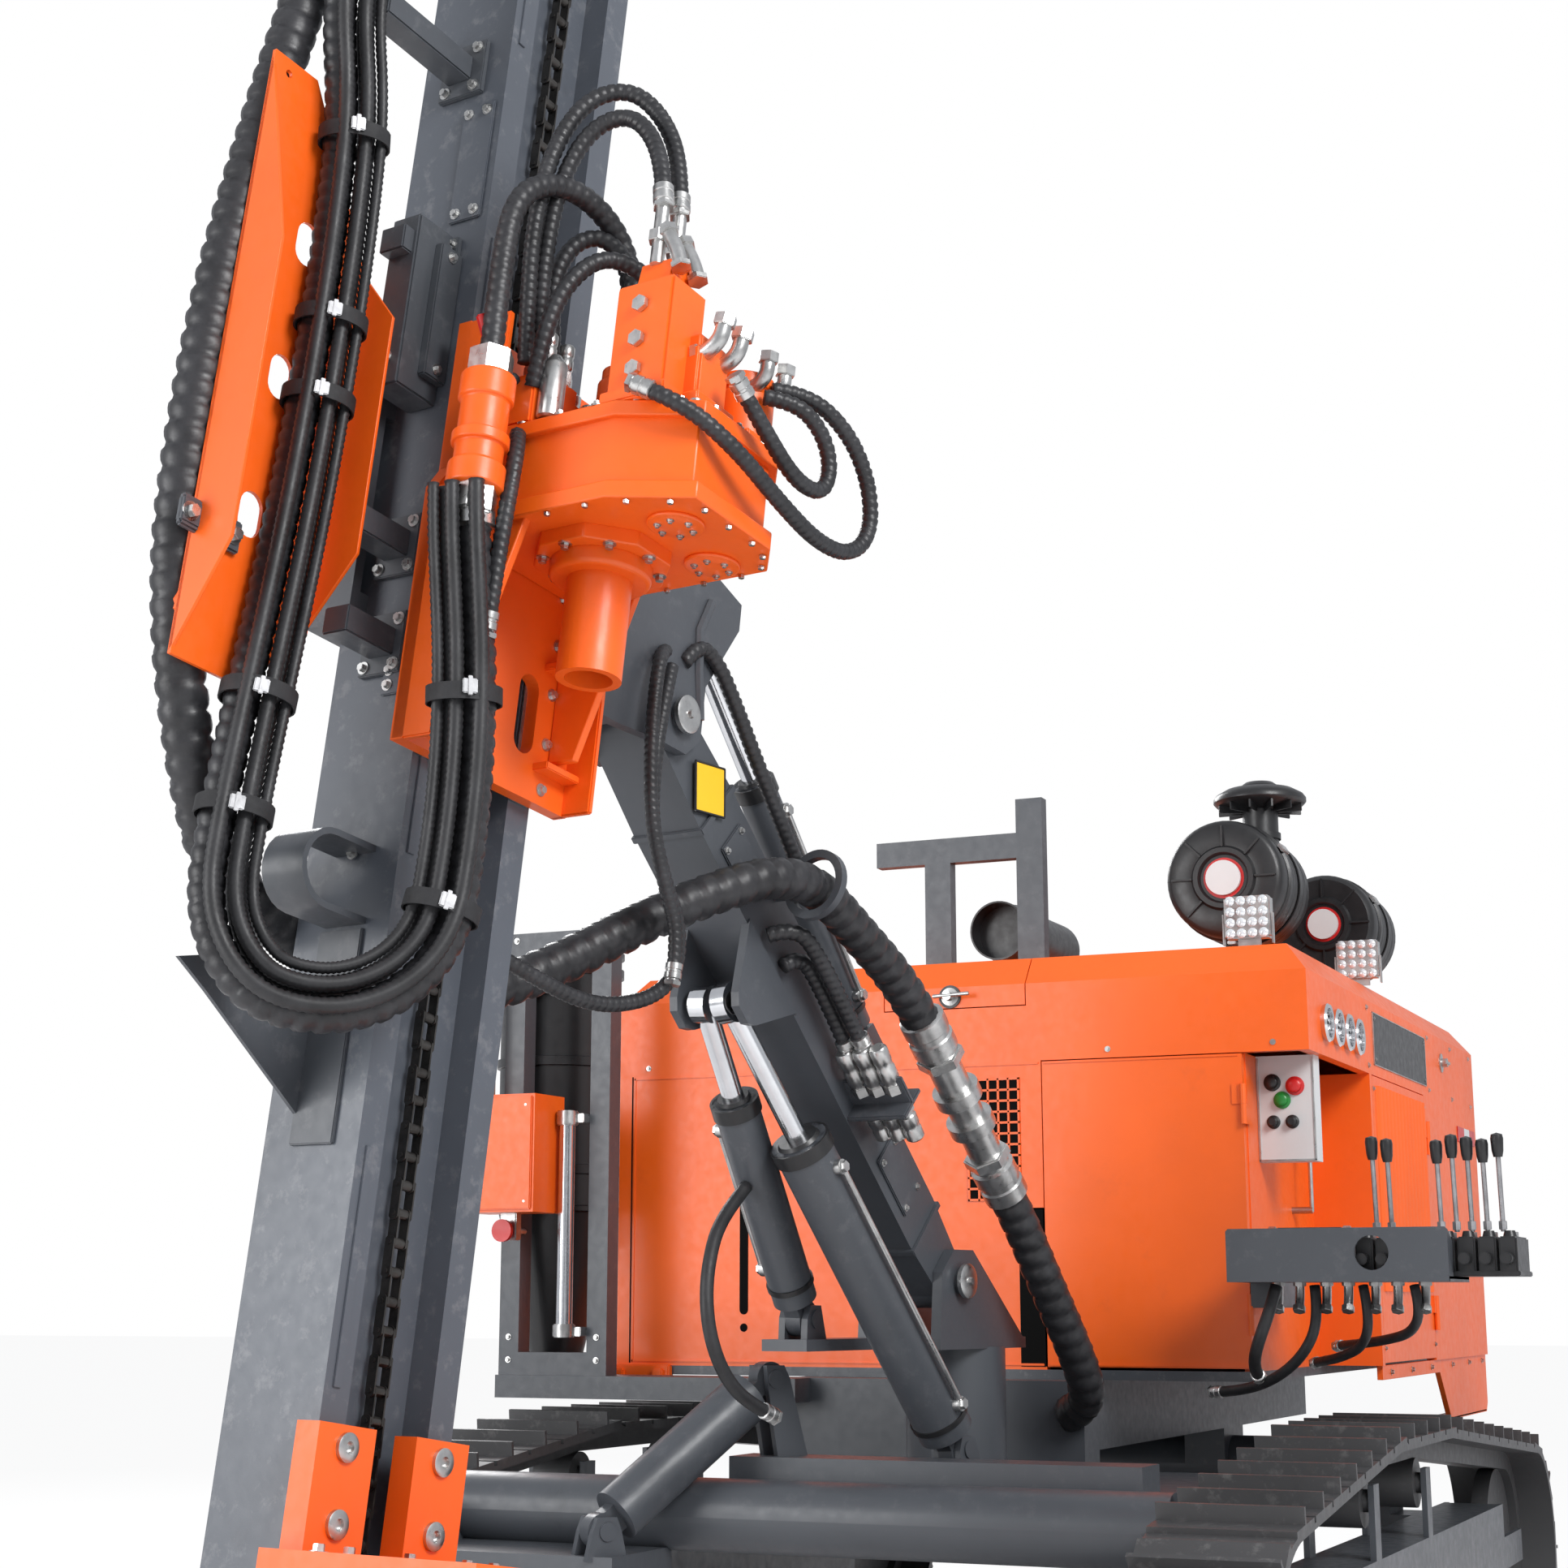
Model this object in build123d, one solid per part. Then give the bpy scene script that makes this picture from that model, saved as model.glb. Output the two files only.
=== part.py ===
from build123d import *
import math
import os

os.makedirs("parts", exist_ok=True)

# Crawler drilling rig with a boom-carried feed mast, real size, millimetres.
# X points forward to the mast, Y to the operator's side, Z up.
# Machine coordinates start at the slewing post: X = 0 at the post, Y = 0 between the tracks,
# Z = 0 on the ground. The last section moves everything to the middle of the whole machine.

# Overall places
POST_Y = 180.0
BOOM_YAW = -9.0
SEAT_GAP = 0.3
JOINT_GAP = 6.0

# Tracks
TRACK_OUTER = 1187.0
SHOE_WIDTH = 300.0
SHOE_COUNT = 46
SHOE_THICK = 12.0
SHOE_GAP = 14.0
GROUSER_HIGH = 34.0
GROUSER_THICK = 10.0
LINK_WIDTH = 96.0
LINK_DEEP = 62.0
IDLER_X = 750.0
SPROCKET_X = -2330.0
WHEEL_RADIUS = 222.0
CARRIER_RADIUS = 62.0
CARRIER_TOP = 663.0
CARRIERS_X = (-250.0, -900.0)
ROLLER_RADIUS = 80.0
ROLLER_COUNT = 7

# Undercarriage
AXLE_RADIUS = 26.0
BEAM_TOP = 470.0
CROSS_FRONT_X = 550.0
CROSS_REAR_X = -1750.0
CROSS_TUBE_RADIUS = 80.0
CROSS_TUBE_Z = 585.0
ARM_Y1 = TRACK_OUTER - SHOE_WIDTH - 17.0
ARM_Y0 = ARM_Y1 - 50.0
ARM_Z0 = 300.0
ARM_Z1 = 460.0
RAIL_Y = 340.0
RAIL_Z0 = 690.0
DECK_X0 = -2700.0
DECK_Z1 = 860.0
DECK_THICK = 24.0
BASE_X0 = -430.0
BASE_X1 = 420.0
BASE_Y0 = -190.0
BASE_Y1 = 780.0
BASE_Z1 = 640.0
BASE_HIGH = 90.0
BEAM_X0 = 352.0

# Slewing seat and boom, drawn in the boom's upright plane: u forward, v left, z up
SPIGOT_RADIUS = 60.0
SPIGOT_HIGH = 180.0
SEAT_Z0 = 646.0
SEAT_RADIUS = 200.0
COLUMN_RADIUS = 120.0
COLUMN_TOP = 948.0
FOOT_U = 165.0
FOOT_Z = 1100.0
FOOT_PIN = 30.0
HEAD_U = 1300.0
HEAD_Z = 2235.0
HEAD_PIN = 32.0
PIN_GAP = 1.0
BOOM_WIDE = 170.0
BOOM_HIGH = 156.0
CHEEK_THICK = 26.0

# Rams: base pin and rod eye in the boom plane, and how far to the left each stands
RAM_A_BASE = (532.0, 1016.0)
RAM_B_BASE = (250.0, 722.0)
RAM_EYE = (1003.0, 1676.0)
RAM_A_V0 = -95.0
RAM_A_V1 = -34.0
RAM_B_V0 = 140.0
RAM_B_V1 = 30.0
RAM_A_BORE = 50.0
RAM_B_BORE = 64.0
RAM_ROD = 24.0
RAM_PIN = 20.0
EYE_THICK = 38.0
LUG_GAP = 2.0
LUG_THICK = 16.0
CLEVIS_HALF = 70.0
TILT_BASE = (430.0, 1640.0)
TILT_EYE = (1130.0, 2500.0)
TILT_BORE = 45.0
TILT_ROD = 22.0

# Mast, drawn in its own frame: a forward, v to the rod side, s along the mast
MAST_U = 2070.0
MAST_Z = 1190.0
MAST_TILT = -8.6
MAST_WIDE = 330.0
MAST_BACK = -105.0
MAST_FACE = 115.0
MAST_S0 = -1000.0
MAST_S1 = 4900.0
FOOT_HIGH = 60.0
RAIL_WIDE = 62.0
RAIL_DEEP = 60.0
SEAT_BOX_A = -400.0
SADDLE_A0 = -195.0
SADDLE_V0 = -150.0
PAD_WIDE = 50.0
SEAT_S0 = 1060.0
SEAT_S1 = 1560.0
TABLE_HALF = 260.0
TABLE_V1 = 560.0
TABLE_S0 = -600.0
TABLE_THICK = 40.0
GUIDE_RADIUS = 75.0
BLOCKS_A = (80.0, -155.0)
BLOCK_WIDE = 135.0
BLOCK_THICK = 50.0
BLOCK_S1 = -360.0
TROUGH_A0 = 300.0
TROUGH_A1 = 600.0
TROUGH_V = -60.0
TROUGH_DEEP = 110.0
TROUGH_S0 = 850.0
TROUGH_S1 = 2050.0
BRACKET_V = -30.0
BRACKETS_S = (1000.0, 1200.0, 1800.0)

# Rotary head
SPINDLE_V = 360.0
SPINDLE_RADIUS = 60.0
SPINDLE_BORE = 44.0
SOCKET_DEEP = 150.0
SPINDLE_S0 = 965.0
GEARBOX_S0 = 1215.0
GEARBOX_HIGH = 190.0
GEARBOX_HALF = 192.0
GEARBOX_V1 = 655.0
FLANGE_RADIUS = 112.0
FLANGE_HIGH = 60.0
SLED_HALF = 232.0
SLED_THICK = 30.0
SLED_S0 = 800.0
SLED_S1 = 1640.0

# Canopy
CANOPY_X1 = -424.0
CANOPY_X0 = -2880.0
CANOPY_HALF = 970.0
CANOPY_WALL = 30.0
RECESS_DEEP = 169.0
RECESS_Y = CANOPY_HALF - RECESS_DEEP
SIDE_DOOR_X0 = -1950.0
SIDE_DOOR_X1 = -1185.0
DOOR_Z0 = 891.0
DOOR_Z1 = 1668.0
DOOR_GAP = 3.0
KNUCKLE_RADIUS = 8.0
KNUCKLE_LONG = 50.0
FASCIA_Z1 = 1871.0
ROOF_Z1 = 1945.0
ROOF_CHAMFER = 60.0
DOOR_THICK = 30.0
DOOR_SEAM_Y = 268.0
HATCH_X0 = -640.0
HATCH_Y0 = -171.0
HATCH_Y1 = 231.0
HATCH_Z0 = 1813.0

# Roof fittings
FILTERS = (
    # front x, y, z, radius, length
    (-1000.0, 620.0, 2215.0, 165.0, 420.0),
    (-1620.0, 760.0, 2160.0, 150.0, 420.0),
)
RAIN_CAP = (-1180.0, 690.0, 2440.0)
MUFFLER = (-1150.0, -100.0, 2130.0)
RAIL_X = -650.0
RAIL_Y0 = -281.0
RAIL_Y1 = 210.0
RAIL_POST_Y = -60.0
RAIL_TOP = 2414.0
RAIL_BAR_Z = 2320.0
LAMPS = ((-480.0, 810.0), (-1400.0, 900.0))

# Console and dust collector
STAND_X0 = -420.0
STAND_X1 = -150.0
STAND_Y1 = RECESS_Y + 529.0
STAND_Z = 1110.0
LEVERS_Y = tuple(RECESS_Y + step for step in (349.0, 384.0, 499.0, 534.0, 569.0, 604.0, 639.0))
PANEL_X = -560.0
COLLECTOR = (-470.0, -CANOPY_HALF - 220.0)
COLLECTOR_RADIUS = 180.0
LOCK_LOW = (800.0, -350.0, 565.0)
LOCK_HIGH = (430.0, -120.0, 880.0)
LOCK_BORE = 60.0


def in_plane(v):
    return Plane(origin=(0, v, 0), x_dir=(1, 0, 0), z_dir=(0, -1, 0))


def cheek(points, v0, v1):
    # flat plate with its outline in the u-z plane, from v0 to v1
    face = make_face(Polyline(*points, close=True))
    return extrude(in_plane(v1) * face, v1 - v0)


def box(x0, x1, y0, y1, z0, z1):
    return Pos((x0 + x1) / 2, (y0 + y1) / 2, (z0 + z1) / 2) * Box(x1 - x0, y1 - y0, z1 - z0)


def pin_y(x, z, radius, y0, y1):
    return Pos(x, (y0 + y1) / 2, z) * Rot(90, 0, 0) * Cylinder(radius, y1 - y0)


def pin_x(x0, x1, y, z, radius):
    return Pos((x0 + x1) / 2, y, z) * Rot(0, 90, 0) * Cylinder(radius, x1 - x0)


def pin_z(x, y, radius, z0, z1):
    return Pos(x, y, (z0 + z1) / 2) * Cylinder(radius, z1 - z0)


def group(shapes):
    # solids that don't touch, kept as one node
    solids = []
    for shape in shapes:
        solids += list(shape.solids())
    return Compound(children=solids)


def rod_between(p, q, radius):
    p = Vector(*p)
    q = Vector(*q)
    d = q - p
    plane = Plane(origin=p, z_dir=d)
    return extrude(plane * Circle(radius), d.length)


def knuckles(start, step, radius, long):
    # hinge knuckles one after the other along a line: the first on the fixed side, the next on the door
    start = Vector(*start)
    step = Vector(*step)
    fixed = rod_between(tuple(start), tuple(start + step * long), radius)
    moving = rod_between(tuple(start + step * (long + SEAT_GAP)), tuple(start + step * (2 * long)), radius)
    return fixed, moving


BOOM_FRAME = Location((0, POST_Y, 0), (0, 0, BOOM_YAW))
MAST_FRAME = BOOM_FRAME * Location((MAST_U, 0, MAST_Z), (0, MAST_TILT, 0))

nodes = {}


def keep(name, shape, frame=None):
    if frame is not None:
        shape = frame * shape
    nodes[name] = shape


def lug_pair(origin, across, outline):
    # two cheeks and their pin, square to the hinge line through origin
    if across.Y < 0:
        across = across * -1
    upright = (Vector(0, 0, 1) - across * across.Z).normalized()
    frame = Plane(origin=origin, x_dir=across.cross(upright), z_dir=upright).location
    inner = EYE_THICK / 2 + LUG_GAP
    lug = pin_y(0, 0, RAM_PIN, -inner - LUG_THICK - 4, inner + LUG_THICK + 4)
    for low in (-inner - LUG_THICK, inner):
        lug += cheek(outline, low, low + LUG_THICK)
    return frame * lug


# Track belt: the hull of the idler, the sprocket and two carrier rollers
def belt_path():
    wheel_z = GROUSER_HIGH + SHOE_THICK + LINK_DEEP + WHEEL_RADIUS
    carrier_z = CARRIER_TOP - CARRIER_RADIUS
    circles = [(SPROCKET_X, wheel_z, WHEEL_RADIUS), (IDLER_X, wheel_z, WHEEL_RADIUS)]
    circles += [(x, carrier_z, CARRIER_RADIUS) for x in CARRIERS_X]
    return circles


def tangent_angle(a, b):
    # direction of the outside normal of the line that touches two circles, walking a to b anticlockwise
    dx = b[0] - a[0]
    dz = b[1] - a[1]
    length = math.hypot(dx, dz)
    along = math.atan2(dz, dx)
    return along - math.acos((a[2] - b[2]) / length)


def belt_pieces():
    # straight runs and arcs in walking order, each with its length last
    ring = belt_path()
    count = len(ring)
    normals = [tangent_angle(ring[i], ring[(i + 1) % count]) for i in range(count)]
    pieces = []
    for i in range(count):
        a = ring[i]
        b = ring[(i + 1) % count]
        n0 = normals[i]
        turn = (normals[(i + 1) % count] - n0) % (2 * math.pi)
        start = (a[0] + a[2] * math.cos(n0), a[1] + a[2] * math.sin(n0))
        end = (b[0] + b[2] * math.cos(n0), b[1] + b[2] * math.sin(n0))
        pieces.append(("line", start, end, n0, math.dist(start, end)))
        pieces.append(("arc", b, n0, turn, b[2] * turn))
    return pieces


def belt_outline(offset, y0, y1):
    # closed belt of exact lines and arcs, this far outside the wheels, from y0 to y1
    edges = []
    for kind, first, second, third, length in belt_pieces():
        if kind == "line":
            ex = offset * math.cos(third)
            ez = offset * math.sin(third)
            edges.append(Line((first[0] + ex, first[1] + ez), (second[0] + ex, second[1] + ez)))
        else:
            radius = first[2] + offset
            arc = [(first[0] + radius * math.cos(second + third * k), first[1] + radius * math.sin(second + third * k)) for k in (0, 0.5, 1)]
            edges.append(ThreePointArc(*arc))
    return extrude(in_plane(y1) * make_face(Curve() + edges), y1 - y0)


def belt_points(count):
    # count evenly spaced (x, z, normal angle) around the wheels
    pieces = belt_pieces()
    total = sum(p[-1] for p in pieces)
    points = []
    for k in range(count):
        s = total * k / count
        for p in pieces:
            if s <= p[-1]:
                break
            s -= p[-1]
        if p[0] == "line":
            t = s / p[-1]
            x = p[1][0] + (p[2][0] - p[1][0]) * t
            z = p[1][1] + (p[2][1] - p[1][1]) * t
            n = p[3]
        else:
            n = p[2] + p[3] * s / p[-1]
            x = p[1][0] + p[1][2] * math.cos(n)
            z = p[1][1] + p[1][2] * math.sin(n)
        points.append((x, z, n))
    return points, total / count


def shoe_outline():
    points, pitch = belt_points(SHOE_COUNT)
    reach = (pitch - SHOE_GAP) / 2
    rib = GROUSER_THICK / 2
    # one shoe: along the belt from the shoe's middle, height above the links
    profile = (
        (-reach, 0),
        (-reach, SHOE_THICK),
        (-rib, SHOE_THICK),
        (-rib, SHOE_THICK + GROUSER_HIGH),
        (rib, SHOE_THICK + GROUSER_HIGH),
        (rib, SHOE_THICK),
        (reach, SHOE_THICK),
        (reach, 0),
    )
    outline = []
    for x, z, n in points:
        ex, ez = math.cos(n), math.sin(n)
        for along, high in profile:
            h = LINK_DEEP + high
            outline.append((x + ex * h - ez * along, z + ez * h + ex * along))
    return outline


def track(y0, y1):
    mid = (y0 + y1) / 2
    shoes = cheek(shoe_outline(), y0, y1) - belt_outline(LINK_DEEP - SHOE_THICK, y0 - 1, y1 + 1)
    links = belt_outline(LINK_DEEP - SHOE_THICK + 2, mid - LINK_WIDTH / 2, mid + LINK_WIDTH / 2)
    links -= belt_outline(0, mid - LINK_WIDTH, mid + LINK_WIDTH)
    return shoes + links


WHEEL_Z = GROUSER_HIGH + SHOE_THICK + LINK_DEEP + WHEEL_RADIUS
ROLLER_Z = WHEEL_Z - WHEEL_RADIUS + ROLLER_RADIUS
BEAM_Z0 = ROLLER_Z + ROLLER_RADIUS + 10
CARRIER_Z = CARRIER_TOP - CARRIER_RADIUS
ROLLERS_X = [IDLER_X - 330 - k * (IDLER_X - SPROCKET_X - 660) / (ROLLER_COUNT - 1) for k in range(ROLLER_COUNT)]

for side, sign in (("left", 1), ("right", -1)):
    y_mid = sign * (TRACK_OUTER - SHOE_WIDTH / 2)
    keep("track_" + side, track(y_mid - SHOE_WIDTH / 2, y_mid + SHOE_WIDTH / 2))
    # turning parts: x, z, radius, half width
    turning = [(IDLER_X, WHEEL_Z, WHEEL_RADIUS, 28), (SPROCKET_X, WHEEL_Z, WHEEL_RADIUS, 24)]
    turning += [(x, ROLLER_Z, ROLLER_RADIUS, 62) for x in ROLLERS_X]
    turning += [(x, CARRIER_Z, CARRIER_RADIUS, 55) for x in CARRIERS_X]
    wheels = []
    frame = box(SPROCKET_X + 300, IDLER_X - 290, y_mid - 70, y_mid + 70, BEAM_Z0, BEAM_TOP)
    for x, z, radius, half_wide in turning:
        wheel = pin_y(x, z, radius - SEAT_GAP, y_mid - half_wide, y_mid + half_wide)
        wheels.append(wheel + pin_y(x, z, AXLE_RADIUS, y_mid - 70, y_mid + 70))
    keep("wheels_" + side, group(wheels))
    for y in (y_mid - 84, y_mid + 70):
        frame += box(SPROCKET_X + 280, IDLER_X - 270, y, y + 14, ROLLER_Z - 40, BEAM_TOP)
        frame += box(IDLER_X - 290, IDLER_X + 45, y, y + 14, WHEEL_Z - 45, WHEEL_Z + 45)
        frame += box(SPROCKET_X - 45, SPROCKET_X + 300, y, y + 14, WHEEL_Z - 45, WHEEL_Z + 45)
    for x in CARRIERS_X:
        for y in (y_mid - 84, y_mid + 70):
            frame += box(x - 30, x + 30, y, y + 14, BEAM_TOP - 10, CARRIER_Z + 38)
    keep("track_frame_" + side, frame)

# Undercarriage frame between the tracks
LOCK_ALONG = (Vector(*LOCK_HIGH) - Vector(*LOCK_LOW)).normalized()
LOCK_ACROSS = Vector(LOCK_ALONG.Y, -LOCK_ALONG.X, 0).normalized()
INNER_Y = TRACK_OUTER - SHOE_WIDTH / 2 - 84
for name, x in (("cross_tube_front", CROSS_FRONT_X), ("cross_tube_rear", CROSS_REAR_X)):
    tube = pin_y(x, CROSS_TUBE_Z, CROSS_TUBE_RADIUS, -ARM_Y1, ARM_Y1)
    for sign in (1, -1):
        y0, y1 = sorted((sign * ARM_Y0, sign * ARM_Y1))
        tube += box(x - 95, x + 95, y0, y1, ARM_Z0, CROSS_TUBE_Z)
        y0, y1 = sorted((sign * (ARM_Y1 - 10), sign * INNER_Y))
        tube += box(x - 95, x + 95, y0, y1, ARM_Z0, ARM_Z1)
    if x == CROSS_FRONT_X:
        # beam and clevis of the oscillation ram
        x0, y0, z0 = LOCK_LOW
        tube += box(x + 20, x0 + 50, -ARM_Y1, y0 + 60, z0 - 160, z0 - 50)
        tube += lug_pair(Vector(*LOCK_LOW), LOCK_ACROSS, [(-50, -60), (50, -60), (36, 0), (24, 30), (-24, 30), (-36, 0)])
    keep(name, tube)
frame = box(DECK_X0, BASE_X0, -RAIL_Y - 60, -RAIL_Y + 60, RAIL_Z0, DECK_Z1)
frame += box(DECK_X0, BASE_X0, RAIL_Y - 60, RAIL_Y + 60, RAIL_Z0, DECK_Z1)
for x in (DECK_X0, -1900, -1100):
    frame += box(x, x + 120, -RAIL_Y, RAIL_Y, RAIL_Z0, DECK_Z1)
frame += box(BASE_X0 - 10, BASE_X1, BASE_Y0, BASE_Y1, BASE_Z1 - BASE_HIGH, BASE_Z1)
frame += box(BEAM_X0, BEAM_X0 + 130, BASE_Y0, BASE_Y1, BASE_Z1 - BASE_HIGH, BASE_Z1 + 69)
frame += box(BASE_X0, BASE_X0 + 120, -RAIL_Y - 60, RAIL_Y + 60, BASE_Z1 - BASE_HIGH, DECK_Z1)
frame += pin_z(0, POST_Y, SPIGOT_RADIUS, BASE_Z1 - 10, BASE_Z1 + SPIGOT_HIGH)
for y in (-RAIL_Y, RAIL_Y):
    frame += box(CROSS_REAR_X - 110, CROSS_REAR_X + 110, y - 60, y + 60, CROSS_TUBE_Z, RAIL_Z0 + 10)
frame += box(COLLECTOR[0] + 90, COLLECTOR[0] + COLLECTOR_RADIUS + 75, COLLECTOR[1] - 40, -RAIL_Y, DECK_Z1 - 60, DECK_Z1 - SEAT_GAP)
drop = LOCK_HIGH[2] - BASE_Z1 + 10
frame += lug_pair(Vector(*LOCK_HIGH), LOCK_ACROSS, [(-110, -drop), (-20, -drop), (20, -20), (24, 30), (-24, 30), (-40, 0)])
for x in (CROSS_FRONT_X, CROSS_REAR_X):
    frame -= pin_y(x, CROSS_TUBE_Z, CROSS_TUBE_RADIUS + SEAT_GAP, -TRACK_OUTER, TRACK_OUTER)
keep("chassis_frame", frame)
keep("deck", box(CANOPY_X0, CANOPY_X1, -CANOPY_HALF, RECESS_Y, DECK_Z1, DECK_Z1 + DECK_THICK))

# Rams, each drawn along its own line: x to the rod eye, y along the base pin
def ram_plane(base, v0, eye, v1, pivot):
    start = Vector(base[0], v0, base[1])
    along = (Vector(eye[0], v1, eye[1]) - start).normalized()
    swing = Vector(pivot[1] - eye[1], 0, eye[0] - pivot[0])
    axis = along.cross(swing).normalized()
    return Plane(origin=start, x_dir=along, z_dir=along.cross(axis)), (Vector(eye[0], v1, eye[1]) - start).length


RAMS = {
    # name: base, base v, eye, eye v, pivot of the moved arm, bore, rod, closed length, eye radius
    "lift_ram_far": (RAM_A_BASE, RAM_A_V0, RAM_EYE, RAM_A_V1, (FOOT_U, FOOT_Z), RAM_A_BORE, RAM_ROD, 640.0, 40.0),
    "lift_ram_near": (RAM_B_BASE, RAM_B_V0, RAM_EYE, RAM_B_V1, (FOOT_U, FOOT_Z), RAM_B_BORE, RAM_ROD, 930.0, 44.0),
    "tilt_ram": (TILT_BASE, 0.0, TILT_EYE, 0.0, (HEAD_U, HEAD_Z), TILT_BORE, TILT_ROD, 760.0, 36.0),
}


def ram_lug(name, floor):
    base, v0, eye, v1, pivot = RAMS[name][:5]
    plane, length = ram_plane(base, v0, eye, v1, pivot)
    drop = base[1] - floor
    outline = [(-60, -drop), (36, -drop), (36, 0), (24, 30), (-24, 30), (-36, 0)]
    return lug_pair(plane.origin, plane.y_dir, outline)


# Slewing seat: turntable, column, foot cheeks and the ram lugs
seat = pin_z(0, 0, SEAT_RADIUS, SEAT_Z0, SEAT_Z0 + 22)
seat_corner = [(0, -60), (290, -60), (290, RAM_B_V0 + 15), (255, RAM_B_V0 + 60), (0, RAM_B_V0 + 60)]
seat += extrude(Plane.XY.offset(SEAT_Z0) * make_face(Polyline(*seat_corner, close=True)), 22)
seat += pin_z(0, 0, COLUMN_RADIUS, SEAT_Z0, COLUMN_TOP)
seat += box(-150, 264, -112, 112, COLUMN_TOP - 4, COLUMN_TOP + 22)
seat += box(0, RAM_A_BASE[0] + 70, RAM_A_V0 - 60, RAM_A_V0 + 60, COLUMN_TOP - 4, COLUMN_TOP + 22)
foot_z = COLUMN_TOP + 10
foot_cheek = [(-150, foot_z), (264, foot_z), (FOOT_U + 85, FOOT_Z + 20), (FOOT_U + 30, FOOT_Z + 72), (FOOT_U - 60, FOOT_Z + 72)]
for v in (-BOOM_WIDE / 2 - PIN_GAP - CHEEK_THICK, BOOM_WIDE / 2 + PIN_GAP):
    seat += cheek(foot_cheek, v, v + CHEEK_THICK)
seat += pin_y(FOOT_U, FOOT_Z, FOOT_PIN, -BOOM_WIDE / 2 - 40, BOOM_WIDE / 2 + 40)
for name in ("lift_ram_far", "lift_ram_near"):
    seat += ram_lug(name, COLUMN_TOP + 10 if name == "lift_ram_far" else SEAT_Z0 + 10)
seat -= pin_z(0, 0, SPIGOT_RADIUS + SEAT_GAP, SEAT_Z0 - 10, BASE_Z1 + SPIGOT_HIGH + SEAT_GAP)
keep("slew_seat", seat, BOOM_FRAME)

# Boom, along its own axis from the foot pin to the head pin
boom_line = math.degrees(math.atan2(HEAD_Z - FOOT_Z, HEAD_U - FOOT_U))
boom_length = math.hypot(HEAD_Z - FOOT_Z, HEAD_U - FOOT_U)
BOOM_AXIS = Location((FOOT_U, 0, FOOT_Z), (0, -boom_line, 0))
high = BOOM_HIGH / 2
side_view = [(0, -60), (190, -high), (boom_length - 230, -high), (boom_length, -62), (boom_length, 62), (boom_length - 230, high), (190, high), (0, 60)]
boom = cheek(side_view, -BOOM_WIDE / 2, BOOM_WIDE / 2)
boom += pin_y(0, 0, 62, -BOOM_WIDE / 2, BOOM_WIDE / 2)
boom += pin_y(boom_length, 0, 62, -BOOM_WIDE / 2, BOOM_WIDE / 2)
boom -= pin_y(0, 0, FOOT_PIN + SEAT_GAP, -BOOM_WIDE, BOOM_WIDE)
boom += pin_y(boom_length, 0, HEAD_PIN, -BOOM_WIDE / 2 - 40, BOOM_WIDE / 2 + 40)


def on_boom(u, z):
    t = math.radians(boom_line)
    return ((u - FOOT_U) * math.cos(t) + (z - FOOT_Z) * math.sin(t), (z - FOOT_Z) * math.cos(t) - (u - FOOT_U) * math.sin(t))


eye_l, eye_w = on_boom(*RAM_EYE)
lug = [(eye_l - 130, -high + 10), (eye_l + 130, -high + 10), (eye_l + 46, eye_w - 26), (eye_l + 24, eye_w - 46), (eye_l - 24, eye_w - 46), (eye_l - 46, eye_w - 26)]
for low in (-CLEVIS_HALF - 20, CLEVIS_HALF):
    boom += cheek(lug, low, low + 20)
base_l, base_w = on_boom(*TILT_BASE)
lug = [(base_l - 60, high - 10), (base_l + 60, high - 10), (base_l + 30, base_w + 34), (base_l - 30, base_w + 34)]
for low in (-EYE_THICK / 2 - LUG_GAP - LUG_THICK, EYE_THICK / 2 + LUG_GAP):
    boom += cheek(lug, low, low + LUG_THICK)
boom += pin_y(base_l, base_w, RAM_PIN, -EYE_THICK / 2 - LUG_GAP - 5, EYE_THICK / 2 + LUG_GAP + 5)
keep("boom", BOOM_AXIS * boom, BOOM_FRAME)


def ram(length, bore, rod, closed, eye_radius):
    head = closed - eye_radius - 24
    barrel = pin_x(eye_radius + 14, head, 0, 0, bore)
    barrel += pin_y(0, 0, eye_radius, -EYE_THICK / 2, EYE_THICK / 2)
    barrel += box(0, eye_radius + 20, -EYE_THICK / 2, EYE_THICK / 2, -eye_radius * 0.8, eye_radius * 0.8)
    barrel -= pin_y(0, 0, RAM_PIN + SEAT_GAP, -EYE_THICK, EYE_THICK)
    barrel -= pin_x(eye_radius + 50, head + 1, 0, 0, rod + SEAT_GAP)
    start = eye_radius + 60 + length - closed
    bar = pin_x(start, length - eye_radius / 2, 0, 0, rod)
    bar += pin_y(length, 0, eye_radius, -EYE_THICK / 2, EYE_THICK / 2)
    return barrel, bar


for name, (base, v0, eye, v1, pivot, bore, rod, closed, radius) in RAMS.items():
    plane, length = ram_plane(base, v0, eye, v1, pivot)
    barrel, bar = ram(length, bore, rod, closed, radius)
    keep(name + "_barrel", plane.location * barrel, BOOM_FRAME)
    keep(name + "_rod", plane.location * bar, BOOM_FRAME)


# Mast seat, drawn in the mast's frame: cheeks on the boom head, box, and saddle behind the mast
def on_mast(u, z):
    t = math.radians(-MAST_TILT)
    return ((u - MAST_U) * math.cos(t) + (z - MAST_Z) * math.sin(t), (z - MAST_Z) * math.cos(t) - (u - MAST_U) * math.sin(t))


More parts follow.
